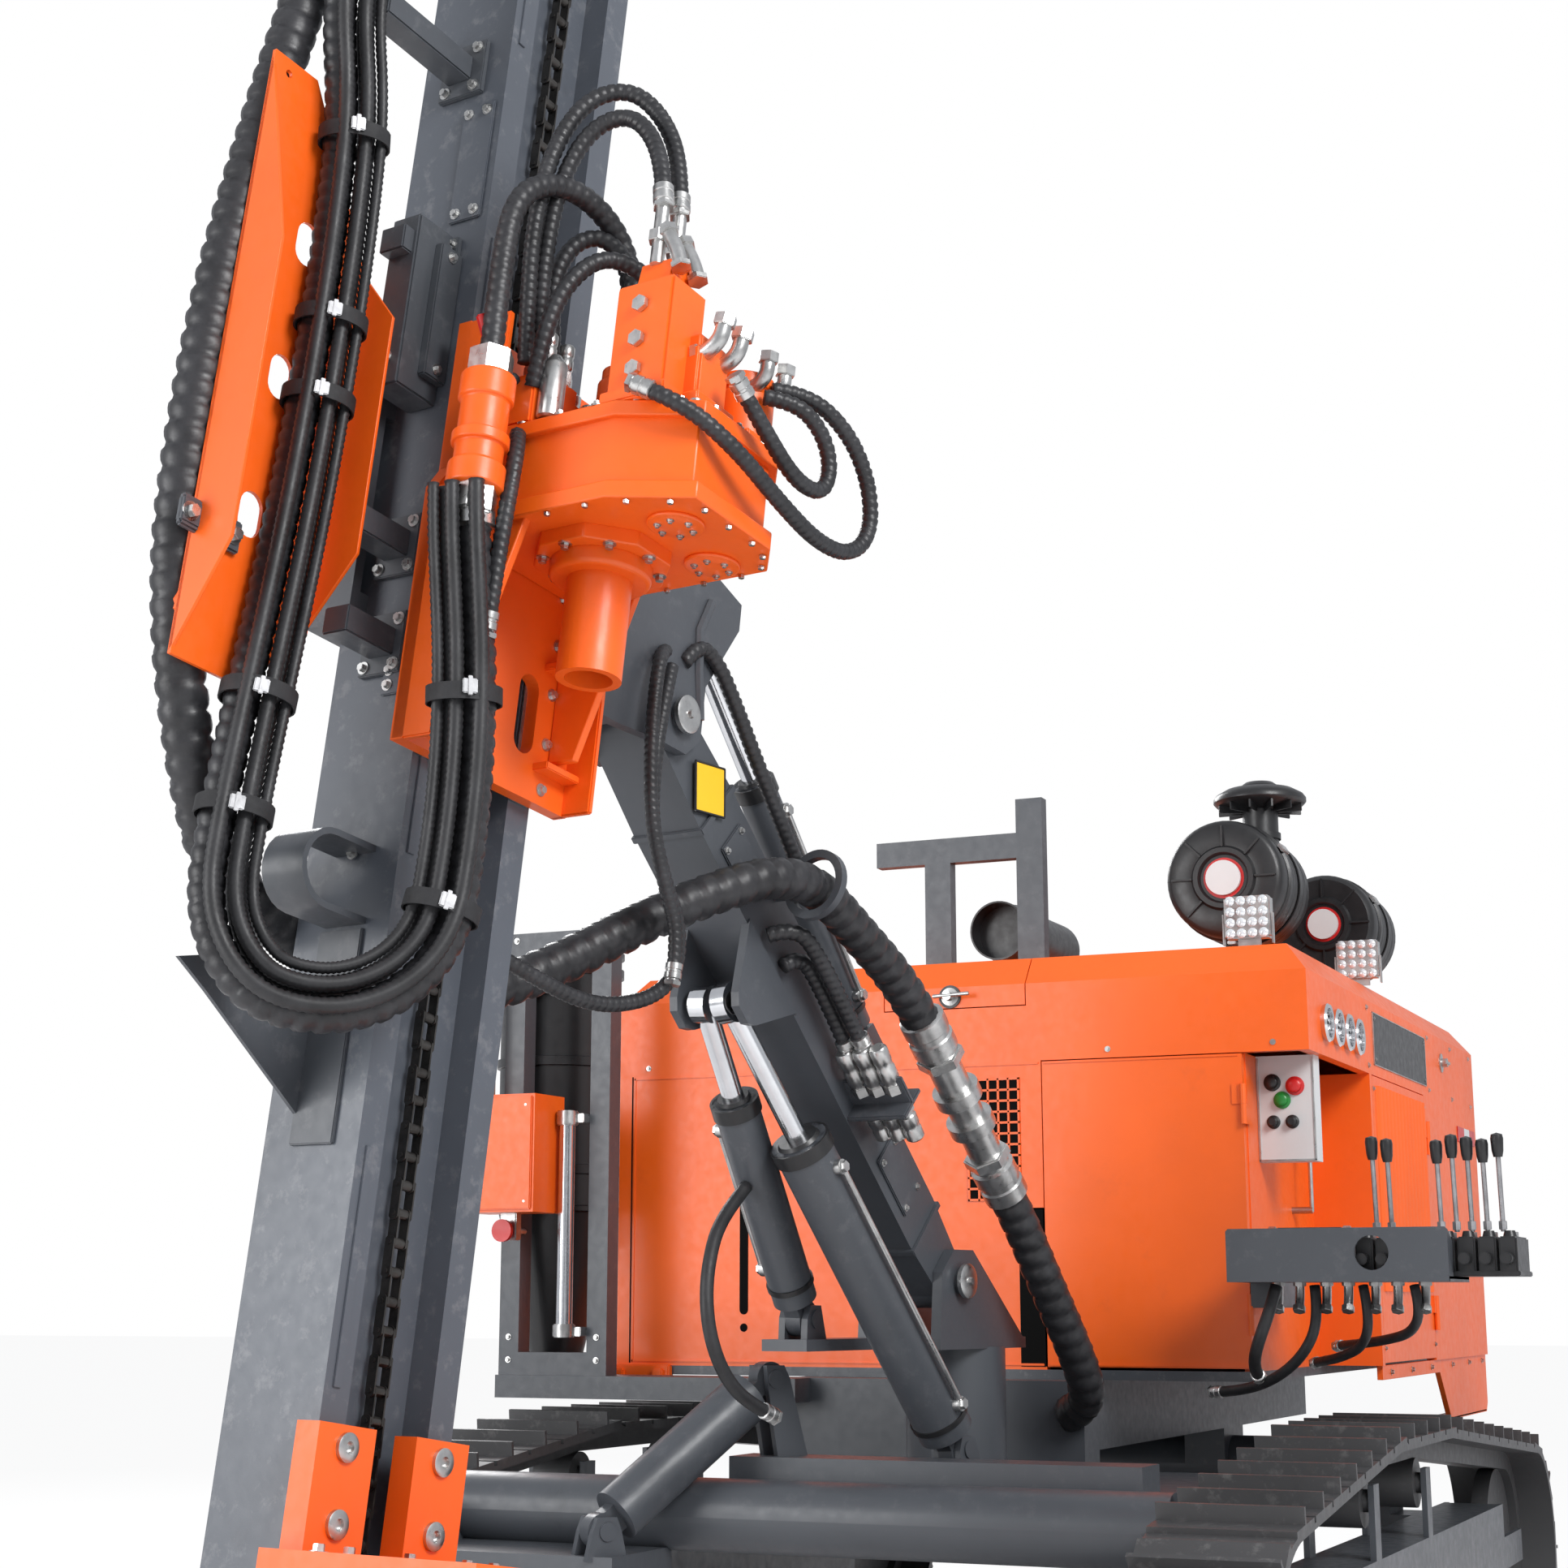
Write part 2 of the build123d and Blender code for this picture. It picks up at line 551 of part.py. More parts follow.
head_a, head_s = on_mast(HEAD_U, HEAD_Z)
lug_a, lug_s = on_mast(*TILT_EYE)
half = MAST_WIDE / 2
seat_cheek = [(head_a - 75, head_s - 30), (head_a - 30, head_s - 75), (head_a + 60, head_s - 75), (SEAT_BOX_A, SEAT_S0), (SEAT_BOX_A, SEAT_S1), (lug_a + 60, lug_s + 60), (lug_a - 46, lug_s + 30), (lug_a - 46, lug_s - 30), (head_a - 75, head_s + 90)]
mast_seat = None
for low in (-BOOM_WIDE / 2 - PIN_GAP - CHEEK_THICK, BOOM_WIDE / 2 + PIN_GAP):
    side = cheek(seat_cheek, low, low + CHEEK_THICK)
    mast_seat = side if mast_seat is None else mast_seat + side
mast_seat += box(SEAT_BOX_A, SADDLE_A0, SADDLE_V0, BOOM_WIDE / 2 + PIN_GAP + CHEEK_THICK, SEAT_S0, SEAT_S1)
mast_seat += box(SEAT_BOX_A, half + 50, SADDLE_V0, SADDLE_V0 + 26, SEAT_S0, SEAT_S1)
mast_seat += box(half + 28, half + 50, SADDLE_V0, MAST_BACK + 60, SEAT_S0, SEAT_S1)
# wear pads the mast slides on
for s in (SEAT_S0 + 20, SEAT_S1 - 20 - PAD_WIDE):
    mast_seat += box(SADDLE_A0 - 5, -half - SEAT_GAP, -60, 70, s, s + PAD_WIDE)
    mast_seat += box(-half + 20, half - 20, SADDLE_V0 + 20, MAST_BACK - SEAT_GAP, s, s + PAD_WIDE)
    mast_seat += box(half + SEAT_GAP, half + 30, MAST_BACK, MAST_BACK + 55, s, s + PAD_WIDE)
mast_seat -= pin_y(head_a, head_s, HEAD_PIN + SEAT_GAP, -200, 200)
keep("mast_seat", mast_seat, MAST_FRAME)

# Mast beam with its two rails and the chain bay between them
mast = box(-half, half, MAST_BACK, MAST_FACE - RAIL_DEEP, MAST_S0, MAST_S1)
mast += box(-half, -half + RAIL_WIDE, MAST_BACK, MAST_FACE, MAST_S0, MAST_S1)
mast += box(half - RAIL_WIDE, half, MAST_BACK, MAST_FACE, MAST_S0, MAST_S1)
keep("mast_beam", mast, MAST_FRAME)

# Rod table at the mast foot
table = box(-TABLE_HALF, TABLE_HALF, MAST_FACE, TABLE_V1, TABLE_S0, TABLE_S0 + TABLE_THICK)
table -= pin_z(0, SPINDLE_V, GUIDE_RADIUS, TABLE_S0 - 10, TABLE_S0 + TABLE_THICK + 10)
keep("rod_table", table, MAST_FRAME)
blocks = []
for a in BLOCKS_A:
    blocks.append(box(a, a + BLOCK_WIDE, MAST_FACE, MAST_FACE + BLOCK_THICK, TABLE_S0 + TABLE_THICK, BLOCK_S1))
keep("base_blocks", group(blocks), MAST_FRAME)
keep("mast_foot", box(-half, half, MAST_BACK, MAST_FACE, MAST_S0 - FOOT_HIGH, MAST_S0), MAST_FRAME)

# Hose trough beside the mast and its brackets
trough = box(TROUGH_A0, TROUGH_A1, TROUGH_V, TROUGH_V + 8, TROUGH_S0, TROUGH_S1)
for a in (TROUGH_A0, TROUGH_A1 - 8):
    trough += box(a, a + 8, TROUGH_V, TROUGH_V + TROUGH_DEEP, TROUGH_S0, TROUGH_S1)
keep("hose_trough", trough, MAST_FRAME)
brackets = []
for s in BRACKETS_S:
    brackets.append(box(half, TROUGH_A0, BRACKET_V, BRACKET_V + 50, s, s + 50))
keep("trough_brackets", group(brackets), MAST_FRAME)

# Rotary head
sled = box(-SLED_HALF, SLED_HALF, MAST_FACE + JOINT_GAP, MAST_FACE + JOINT_GAP + SLED_THICK, SLED_S0, SLED_S1)
for a in (-SLED_HALF + 75, SLED_HALF - 75 - RAIL_WIDE + 10):
    sled += box(a, a + RAIL_WIDE - 10, MAST_FACE + SEAT_GAP, MAST_FACE + JOINT_GAP + 5, SLED_S0, SLED_S1)
keep("head_sled", sled, MAST_FRAME)
gear_v0 = MAST_FACE + JOINT_GAP + SLED_THICK
gear = box(-GEARBOX_HALF, GEARBOX_HALF, gear_v0, GEARBOX_V1, GEARBOX_S0, GEARBOX_S0 + GEARBOX_HIGH)
gear += pin_z(0, SPINDLE_V, FLANGE_RADIUS, GEARBOX_S0 - FLANGE_HIGH, GEARBOX_S0)
gear -= pin_z(0, SPINDLE_V, SPINDLE_RADIUS + SEAT_GAP, GEARBOX_S0 - FLANGE_HIGH - 1, GEARBOX_S0 + 60)
keep("head_gearbox", gear, MAST_FRAME)
gear_top = GEARBOX_S0 + GEARBOX_HIGH
keep("head_motors", group([pin_z(a, GEARBOX_V1 - 75, 55, gear_top, gear_top + 150) for a in (-90, 70)]), MAST_FRAME)
keep("head_valve_block", box(40, 190, gear_v0 + 60, gear_v0 + 160, gear_top, gear_top + 130), MAST_FRAME)
spindle = pin_z(0, SPINDLE_V, SPINDLE_RADIUS, SPINDLE_S0, GEARBOX_S0 + 60 - SEAT_GAP)
spindle -= pin_z(0, SPINDLE_V, SPINDLE_BORE, SPINDLE_S0 - 1, SPINDLE_S0 + SOCKET_DEEP)
keep("spindle", spindle, MAST_FRAME)

# Canopy hood: a tray with its fascia, its lid cut out at the front
hood = box(CANOPY_X0, CANOPY_X1, -CANOPY_HALF, CANOPY_HALF, DOOR_Z1, ROOF_Z1)
hood = chamfer(hood.edges().group_by(Axis.Z)[-1], ROOF_Z1 - FASCIA_Z1, ROOF_CHAMFER)
wall = CANOPY_WALL
hood -= box(CANOPY_X0 + wall, CANOPY_X1 - wall, -CANOPY_HALF + wall, CANOPY_HALF - wall, DOOR_Z1 - 1, FASCIA_Z1 - wall)
lid_cut = box(HATCH_X0, CANOPY_X1 + 1, HATCH_Y0, HATCH_Y1, HATCH_Z0, ROOF_Z1 + 1)
lid_box = box(HATCH_X0 + DOOR_GAP, CANOPY_X1, HATCH_Y0 + DOOR_GAP, HATCH_Y1 - DOOR_GAP, HATCH_Z0 + DOOR_GAP, ROOF_Z1)
fixed, moving = [], []
for y in (HATCH_Y0 + 60, HATCH_Y1 - 60 - 2 * KNUCKLE_LONG):
    first, second = knuckles((HATCH_X0, y, ROOF_Z1), (0, 1, 0), KNUCKLE_RADIUS, KNUCKLE_LONG)
    fixed.append(first)
    moving.append(second)
room = [pin_y(HATCH_X0, ROOF_Z1, KNUCKLE_RADIUS + DOOR_GAP, y - 5, y + 2 * KNUCKLE_LONG + 5) for y in (HATCH_Y0 + 60, HATCH_Y1 - 60 - 2 * KNUCKLE_LONG)]
lid = hood & lid_box
hood -= lid_cut
for cut, first, second in zip(room, fixed, moving):
    hood = hood - cut
    lid = lid - cut
for cut, first, second in zip(room, fixed, moving):
    # a web joins each knuckle to its own side
    y0 = first.bounding_box().min.Y
    hood += first + box(HATCH_X0 - 14, HATCH_X0, y0, y0 + KNUCKLE_LONG, ROOF_Z1 - 8, ROOF_Z1 - 2)
    y0 = second.bounding_box().min.Y
    lid += second + box(HATCH_X0, HATCH_X0 + 14, y0, y0 + KNUCKLE_LONG - SEAT_GAP, ROOF_Z1 - 8, ROOF_Z1 - 2)
keep("canopy_hood", hood)
keep("hood_hatch", lid)

wall_z0 = DECK_Z1 + DECK_THICK
keep("engine", box(-2300, -900, -380, 380, wall_z0, 1500))
keep("canopy_rear_wall", box(CANOPY_X0, CANOPY_X0 + wall, -CANOPY_HALF, CANOPY_HALF, wall_z0, DOOR_Z1))
for side, sign in (("left", 1), ("right", -1)):
    y0, y1 = sorted((sign * (CANOPY_HALF - wall), sign * CANOPY_HALF))
    panel = box(CANOPY_X0 + wall, SIDE_DOOR_X0, y0, y1, wall_z0, DOOR_Z1)
    door = box(SIDE_DOOR_X0 + DOOR_GAP, SIDE_DOOR_X1 - DOOR_GAP, y0, y1, DOOR_Z0, DOOR_Z1 - DOOR_GAP)
    hinge_y = sign * (CANOPY_HALF + KNUCKLE_RADIUS)
    for z in (DOOR_Z0 + 80, DOOR_Z1 - 80 - 2 * KNUCKLE_LONG):
        first, second = knuckles((SIDE_DOOR_X0, hinge_y, z), (0, 0, 1), KNUCKLE_RADIUS, KNUCKLE_LONG)
        leaf_y = sorted((sign * (CANOPY_HALF - 4), sign * (CANOPY_HALF + 8)))
        panel += first + box(SIDE_DOOR_X0 - 30, SIDE_DOOR_X0, *leaf_y, z, z + KNUCKLE_LONG)
        door += second + box(SIDE_DOOR_X0, SIDE_DOOR_X0 + 30, *leaf_y, z + KNUCKLE_LONG + SEAT_GAP, z + 2 * KNUCKLE_LONG)
        room = pin_z(SIDE_DOOR_X0, hinge_y, KNUCKLE_RADIUS + DOOR_GAP, z + KNUCKLE_LONG, z + 2 * KNUCKLE_LONG + 5)
        panel -= room
    keep("canopy_wall_" + side, panel)
    keep("side_door_" + side, door)
recess = box(SIDE_DOOR_X1, CANOPY_X1 - DOOR_THICK, RECESS_Y - wall, RECESS_Y, wall_z0, DOOR_Z1)
recess += box(SIDE_DOOR_X1, SIDE_DOOR_X1 + wall, RECESS_Y - wall, CANOPY_HALF, wall_z0, DOOR_Z1)
door = box(CANOPY_X1 - DOOR_THICK, CANOPY_X1, DOOR_SEAM_Y + DOOR_GAP, RECESS_Y - DOOR_GAP, DOOR_Z0, DOOR_Z1 - DOOR_GAP)
hinge_x = CANOPY_X1 + KNUCKLE_RADIUS
for z in (DOOR_Z0 + 80, DOOR_Z1 - 80 - 2 * KNUCKLE_LONG):
    first, second = knuckles((hinge_x, RECESS_Y, z), (0, 0, 1), KNUCKLE_RADIUS, KNUCKLE_LONG)
    recess += first + box(CANOPY_X1 - 40, hinge_x, RECESS_Y, RECESS_Y + 6, z, z + KNUCKLE_LONG) + box(CANOPY_X1 - 40, CANOPY_X1 - DOOR_THICK, RECESS_Y - 10, RECESS_Y + 6, z, z + KNUCKLE_LONG)
    door += second + box(CANOPY_X1 - 4, CANOPY_X1 + 4, RECESS_Y - 30, RECESS_Y - 2, z + KNUCKLE_LONG + SEAT_GAP, z + 2 * KNUCKLE_LONG)
    door += box(CANOPY_X1, CANOPY_X1 + KNUCKLE_RADIUS, RECESS_Y - 12, RECESS_Y - 2, z + KNUCKLE_LONG + SEAT_GAP, z + 2 * KNUCKLE_LONG)
keep("canopy_recess", recess)
keep("front_door", door)
keep("canopy_side_front", box(SIDE_DOOR_X1, CANOPY_X1 - DOOR_THICK, -CANOPY_HALF, -CANOPY_HALF + wall, wall_z0, DOOR_Z1))
panel = box(CANOPY_X1 - DOOR_THICK, CANOPY_X1, -CANOPY_HALF, DOOR_SEAM_Y, wall_z0, DOOR_Z1)
panel -= box(CANOPY_X1 - DOOR_THICK - 1, CANOPY_X1 + 1, DOOR_SEAM_Y - 66, DOOR_SEAM_Y + 1, DOOR_Z0, 1290)
keep("canopy_front_panel", panel)

# On the roof
filters = []
for x, y, z, radius, length in FILTERS:
    filters.append(pin_x(x - length, x, y, z, radius) + box(x - length * 0.7, x - length * 0.4, y - 40, y + 40, ROOF_Z1, z))
keep("air_filters", group(filters))
cap_x, cap_y, cap_z = RAIN_CAP
cap = pin_z(cap_x, cap_y, 62, FILTERS[0][2] + 60, cap_z) + pin_z(cap_x, cap_y, 120, cap_z - 2, cap_z + 60)
fx, fy, fz, radius, length = FILTERS[0]
keep("rain_cap", cap - pin_x(fx - length - 1, fx + 1, fy, fz, radius + SEAT_GAP))
muffler_x, muffler_y, muffler_z = MUFFLER
keep("muffler", pin_x(muffler_x - 520, muffler_x, muffler_y, muffler_z, 88) + box(muffler_x - 400, muffler_x - 300, muffler_y - 40, muffler_y + 40, ROOF_Z1, muffler_z))
rail = box(RAIL_X - 40, RAIL_X, RAIL_Y1 - 76, RAIL_Y1, ROOF_Z1, RAIL_TOP)
rail += box(RAIL_X - 40, RAIL_X, RAIL_Y0, RAIL_Y1, RAIL_BAR_Z - 70, RAIL_BAR_Z)
rail += box(RAIL_X - 40, RAIL_X, RAIL_POST_Y - 76, RAIL_POST_Y, ROOF_Z1, RAIL_BAR_Z)
keep("roof_rail", rail)
lamps = [box(x - 50, x, y - 60, y + 60, ROOF_Z1 + 20, ROOF_Z1 + 130) + box(x - 30, x - 15, y - 15, y + 15, ROOF_Z1, ROOF_Z1 + 30) for x, y in LAMPS]
keep("work_lamps", group(lamps))

# Operator's console, carried on the recess wall
STAND_Y0 = RECESS_Y + 14
stand = box(STAND_X0, STAND_X1, STAND_Y0, STAND_Y1, STAND_Z - 12, STAND_Z)
stand += box(STAND_X1 - 10, STAND_X1, STAND_Y0, STAND_Y1, STAND_Z - 12, STAND_Z + 112)
stand += box(STAND_X0 - 220, STAND_X0 + 60, STAND_Y0, STAND_Y0 + 60, STAND_Z - 72, STAND_Z - 6)
stand += box(STAND_X0 - 220, STAND_X0 - 60, RECESS_Y + SEAT_GAP, STAND_Y0 + 10, STAND_Z - 112, STAND_Z - 6)
keep("control_stand", stand)
bank_top = STAND_Z + 105
keep("valve_bank", box(STAND_X0 + 20, STAND_X1 - 60, 1100, 1480, STAND_Z, bank_top))
levers = []
for y in LEVERS_Y:
    rod = rod_between((STAND_X1 - 110, y, bank_top + 1), (STAND_X1 - 90, y, 1400), 6)
    levers.append(rod + rod_between((STAND_X1 - 90, y, 1390), (STAND_X1 - 84, y, 1440), 12))
keep("control_levers", group(levers))
keep("control_panel", box(PANEL_X - 60, PANEL_X, RECESS_Y, CANOPY_HALF - 20, 1400, DOOR_Z1))

# Dust collector at the other side
cx, cy = COLLECTOR
hopper = pin_z(cx, cy, COLLECTOR_RADIUS, 1300, 2050)
hopper += Pos(cx, cy, 1050) * Cone(60, COLLECTOR_RADIUS, 500)
keep("dust_hopper", hopper)
post_x = cx + COLLECTOR_RADIUS + 15
top = 2060
stand = box(post_x, post_x + 60, cy - 30, cy + 300, DECK_Z1, DECK_Z1 + 60)
stand += box(post_x, post_x + 60, cy - 30, cy + 300, top - 60, top)
for y in (cy - 30, cy + 240):
    stand += box(post_x, post_x + 60, y, y + 60, DECK_Z1, top)
for z in (1380, 1900):
    stand += box(post_x - 60, post_x + 10, cy - 30, cy + 60, z, z + 60)
stand -= pin_z(cx, cy, COLLECTOR_RADIUS + SEAT_GAP, 1300, top)
keep("dust_frame", stand)
keep("dust_box", box(post_x + 60 + SEAT_GAP, post_x + 220, cy - 70, cy + 160, 1287, 1600))

# Oscillation ram between the undercarriage and the frame
lock_length = (Vector(*LOCK_HIGH) - Vector(*LOCK_LOW)).length
lock = pin_x(52, lock_length - 64, 0, 0, LOCK_BORE)
lock += box(0, 60, -EYE_THICK / 2, EYE_THICK / 2, -30, 30)
lock += box(lock_length - 70, lock_length, -EYE_THICK / 2, EYE_THICK / 2, -18, 18)
for x in (0, lock_length):
    lock += pin_y(x, 0, 38, -EYE_THICK / 2, EYE_THICK / 2)
for x in (0, lock_length):
    lock -= pin_y(x, 0, RAM_PIN + SEAT_GAP, -EYE_THICK, EYE_THICK)
lock_plane = Plane(origin=Vector(*LOCK_LOW), x_dir=LOCK_ALONG, z_dir=LOCK_ALONG.cross(LOCK_ACROSS))
keep("frame_ram", lock_plane.location * lock)

# Everything goes to the middle of the machine
boxes = [shape.bounding_box() for shape in nodes.values()]
low = [min(getattr(b.min, c) for b in boxes) for c in "XYZ"]
high_corner = [max(getattr(b.max, c) for b in boxes) for c in "XYZ"]
print("low", low, "high", high_corner)
MIDDLE = Location((-(low[0] + high_corner[0]) / 2, -(low[1] + high_corner[1]) / 2, -low[2]))
for name, shape in nodes.items():
    export_step(MIDDLE * shape, "parts/" + name + ".step")
print(len(nodes), "nodes")
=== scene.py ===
import math

import bmesh
import bpy
from mathutils import Matrix, Vector


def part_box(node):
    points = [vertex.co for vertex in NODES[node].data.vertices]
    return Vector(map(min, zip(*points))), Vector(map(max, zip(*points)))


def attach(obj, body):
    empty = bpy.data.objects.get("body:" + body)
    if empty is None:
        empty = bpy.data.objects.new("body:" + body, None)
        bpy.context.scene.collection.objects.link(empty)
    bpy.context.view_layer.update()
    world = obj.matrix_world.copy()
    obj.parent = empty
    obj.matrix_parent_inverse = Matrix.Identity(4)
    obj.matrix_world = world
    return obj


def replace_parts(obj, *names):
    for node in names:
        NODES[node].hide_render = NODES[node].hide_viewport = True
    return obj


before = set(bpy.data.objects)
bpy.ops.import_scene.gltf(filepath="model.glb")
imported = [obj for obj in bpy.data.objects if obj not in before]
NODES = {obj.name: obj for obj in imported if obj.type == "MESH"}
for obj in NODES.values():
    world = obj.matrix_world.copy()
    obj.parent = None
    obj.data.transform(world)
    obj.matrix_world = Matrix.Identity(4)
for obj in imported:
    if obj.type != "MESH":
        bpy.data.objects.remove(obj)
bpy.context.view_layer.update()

# Frames, in metres. The machine frame starts at the slewing post on the ground: x forward, y left, z up.
CANOPY_X0, CANOPY_HALF = -2.880, 0.970
deck_low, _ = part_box("canopy_hood")
SHIFT = Vector((deck_low[0] - CANOPY_X0, deck_low[1] + CANOPY_HALF, 0))
MACHINE = Matrix.Translation(SHIFT)
BOOM = MACHINE @ Matrix.Translation((0, 0.180, 0)) @ Matrix.Rotation(math.radians(-9.0), 4, "Z")
BEAM = BOOM @ Matrix.Translation((0.165, 0, 1.100)) @ Matrix.Rotation(math.radians(-45.0), 4, "Y")
MAST = BOOM @ Matrix.Translation((2.070, 0, 1.190)) @ Matrix.Rotation(math.radians(-8.6), 4, "Y")

# Materials


def principled(name, color, rough=0.5, metal=0.0, coat=0.0, spec=0.5):
    """A material with plain values on its shader: the material, its tree and the shader."""
    m = bpy.data.materials.new(name)
    m.use_nodes = True
    b = m.node_tree.nodes["Principled BSDF"]
    b.inputs["Base Color"].default_value = (*color, 1)
    b.inputs["Roughness"].default_value = rough
    b.inputs["Metallic"].default_value = metal
    b.inputs["Coat Weight"].default_value = coat
    b.inputs["Coat Roughness"].default_value = 0.2
    b.inputs["Specular IOR Level"].default_value = spec
    return m, m.node_tree, b


def noise(tree, scale, detail=4.0, rough=0.55, stretch=None):
    """Noise over the object's own coordinates, stretched along an axis where asked."""
    co = tree.nodes.new("ShaderNodeTexCoord")
    n = tree.nodes.new("ShaderNodeTexNoise")
    n.inputs["Scale"].default_value = scale
    n.inputs["Detail"].default_value = detail
    n.inputs["Roughness"].default_value = rough
    if stretch:
        mp = tree.nodes.new("ShaderNodeMapping")
        mp.inputs["Scale"].default_value = stretch
        tree.links.new(co.outputs["Object"], mp.inputs["Vector"])
        tree.links.new(mp.outputs["Vector"], n.inputs["Vector"])
    else:
        tree.links.new(co.outputs["Object"], n.inputs["Vector"])
    return n.outputs["Fac"]


def ramp(tree, fac, stops):
    """A colour ramp through (position, colour) stops."""
    r = tree.nodes.new("ShaderNodeValToRGB")
    while len(r.color_ramp.elements) < len(stops):
        r.color_ramp.elements.new(0.5)
    for e, (pos, col) in zip(r.color_ramp.elements, stops):
        e.position = pos
        e.color = (*col, 1) if len(col) == 3 else col
    tree.links.new(fac, r.inputs["Fac"])
    return r.outputs["Color"]


def mix(tree, fac, a, b, blend="MIX"):
    """Two colours mixed; each input is a value or another node's output."""
    n = tree.nodes.new("ShaderNodeMix")
    n.data_type = "RGBA"
    n.blend_type = blend
    for socket, value in ((n.inputs[0], fac), (n.inputs[6], a), (n.inputs[7], b)):
        if isinstance(value, (int, float)):
            socket.default_value = value
        elif isinstance(value, tuple):
            socket.default_value = (*value, 1)
        else:
            tree.links.new(value, socket)
    return n.outputs[2]


def bump(tree, b, height, strength, distance=0.002):
    """A fine relief on the shader's normal."""
    n = tree.nodes.new("ShaderNodeBump")
    n.inputs["Strength"].default_value = strength
    n.inputs["Distance"].default_value = distance
    tree.links.new(height, n.inputs["Height"])
    tree.links.new(n.outputs["Normal"], b.inputs["Normal"])


def scaled(c, k):
    return tuple(min(1.0, v * k) for v in c)


def paint(
    name, color, rough=0.42, dirt=(0.05, 0.045, 0.04), dirt_amount=0.25, coat=0.12, wear=None,
    stretch=None,
):
    m, t, b = principled(name, color, rough, coat=coat)
    broad = noise(t, 1.7, 5.0, 0.6, stretch)
    fine = noise(t, 38.0, 3.0, 0.6)
    tone = ramp(t, broad, [(0.30, scaled(color, 0.90)), (0.62, scaled(color, 1.06))])
    spots = ramp(t, noise(t, 9.0, 8.0, 0.72), [(0.60, (0, 0, 0)), (0.78, (dirt_amount,) * 3)])
    col = mix(t, spots, tone, dirt)
    # lighter colour on convex edges (pointiness) in noisy patches: edge wear; on the track it is also a
    # painted highlight along the grouser edges
    if wear:
        geo = t.nodes.new("ShaderNodeNewGeometry")
        edge = ramp(t, geo.outputs["Pointiness"], [(0.56, (0, 0, 0)), (0.70, (0.35, 0.35, 0.35))])
        patch = ramp(t, noise(t, 24.0, 6.0, 0.7), [(0.54, (0, 0, 0)), (0.66, (1, 1, 1))])
        col = mix(t, mix(t, 1.0, edge, patch, "MULTIPLY"), col, wear)
    t.links.new(col, b.inputs["Base Color"])
    t.links.new(
        ramp(t, fine, [(0.25, (rough - 0.07,) * 3), (0.75, (rough + 0.10,) * 3)]), b.inputs["Roughness"],
    )
    bump(t, b, noise(t, 160.0, 2.0, 0.5), 0.05)
    return m


def metal(name, color, rough, streak=None, grime=0.25):
    """Bare metal with darker grime in patches."""
    m, t, b = principled(name, color, rough, metal=1.0)
    fac = noise(t, 14.0, 6.0, 0.65, streak)
    t.links.new(ramp(t, fac, [(0.32, scaled(color, 1 - grime)), (0.60, color)]), b.inputs["Base Color"])
    t.links.new(
        ramp(t, noise(t, 55.0, 3.0, 0.6, streak),
        [(0.2, (rough * 0.7,) * 3), (0.8, (min(1, rough * 1.5),) * 3)]), b.inputs["Roughness"],
    )
    bump(t, b, noise(t, 220.0, 2.0, 0.5, streak), 0.05)
    return m


def rubber(name, color=(0.012, 0.012, 0.013), rough=0.48):
    m, t, b = principled(name, color, rough, spec=0.45)
    t.links.new(
        ramp(t, noise(t, 12.0, 6.0, 0.7), [(0.35, color), (0.75, scaled(color, 2.6))]),
        b.inputs["Base Color"],
    )
    t.links.new(
        ramp(t, noise(t, 40.0, 4.0, 0.6), [(0.2, (rough - 0.10,) * 3), (0.8, (rough + 0.14,) * 3)]),
        b.inputs["Roughness"],
    )
    bump(t, b, noise(t, 260.0, 3.0, 0.6), 0.12)
    return m


ORANGE = (0.86, 0.118, 0.006)
GREY = (0.060, 0.066, 0.076)
M = {}
M["orange"] = paint("orange_paint", ORANGE, 0.40, dirt_amount=0.10)
M["grey"] = paint(
    "grey_paint", GREY, 0.42, dirt=(0.02, 0.02, 0.02), dirt_amount=0.3, wear=(0.17, 0.17, 0.18),
)
M["mast"] = paint(
    "mast_paint", (0.080, 0.090, 0.108), 0.36, dirt=(0.03, 0.03, 0.03), dirt_amount=0.35,
    wear=(0.25, 0.25, 0.26),
)
# the track's lighter edge colour is a painted highlight on the grouser edges as well as edge wear
M["track"] = paint(
    "track_steel", (0.050, 0.050, 0.052), 0.52, dirt=(0.09, 0.075, 0.06), dirt_amount=0.5,
    wear=(0.30, 0.29, 0.28),
)
M["black"] = paint("black_paint", (0.012, 0.012, 0.013), 0.38, dirt_amount=0.3)
M["dark"] = paint("dark_plastic", (0.018, 0.018, 0.020), 0.55, dirt_amount=0.3, coat=0.0)
M["white"] = paint("white_paint", (0.62, 0.63, 0.63), 0.45, dirt_amount=0.15)
M["red"] = paint("red_paint", (0.55, 0.012, 0.012), 0.35, dirt_amount=0.1)
M["green"] = paint("green_plastic", (0.010, 0.22, 0.030), 0.35, dirt_amount=0.1)
M["yellow"] = paint("yellow_film", (0.90, 0.52, 0.010), 0.45, dirt_amount=0.1)
M["beige"] = paint("beige_hose", (0.45, 0.37, 0.28), 0.6, dirt_amount=0.2, coat=0.0)
M["chrome"] = metal("chrome", (0.72, 0.73, 0.75), 0.14, grime=0.12)
M["zinc"] = metal("zinc", (0.62, 0.62, 0.61), 0.30, grime=0.35)
M["steel"] = metal("bare_steel", (0.42, 0.42, 0.43), 0.38, grime=0.4)
M["chain"] = metal("chain_steel", (0.10, 0.095, 0.09), 0.45, grime=0.5)
M["rubber"] = rubber("rubber")
M["guard"] = rubber("hose_guard", (0.014, 0.014, 0.0155), 0.40)
M["strap"] = rubber("strap_web", (0.010, 0.010, 0.011), 0.7)
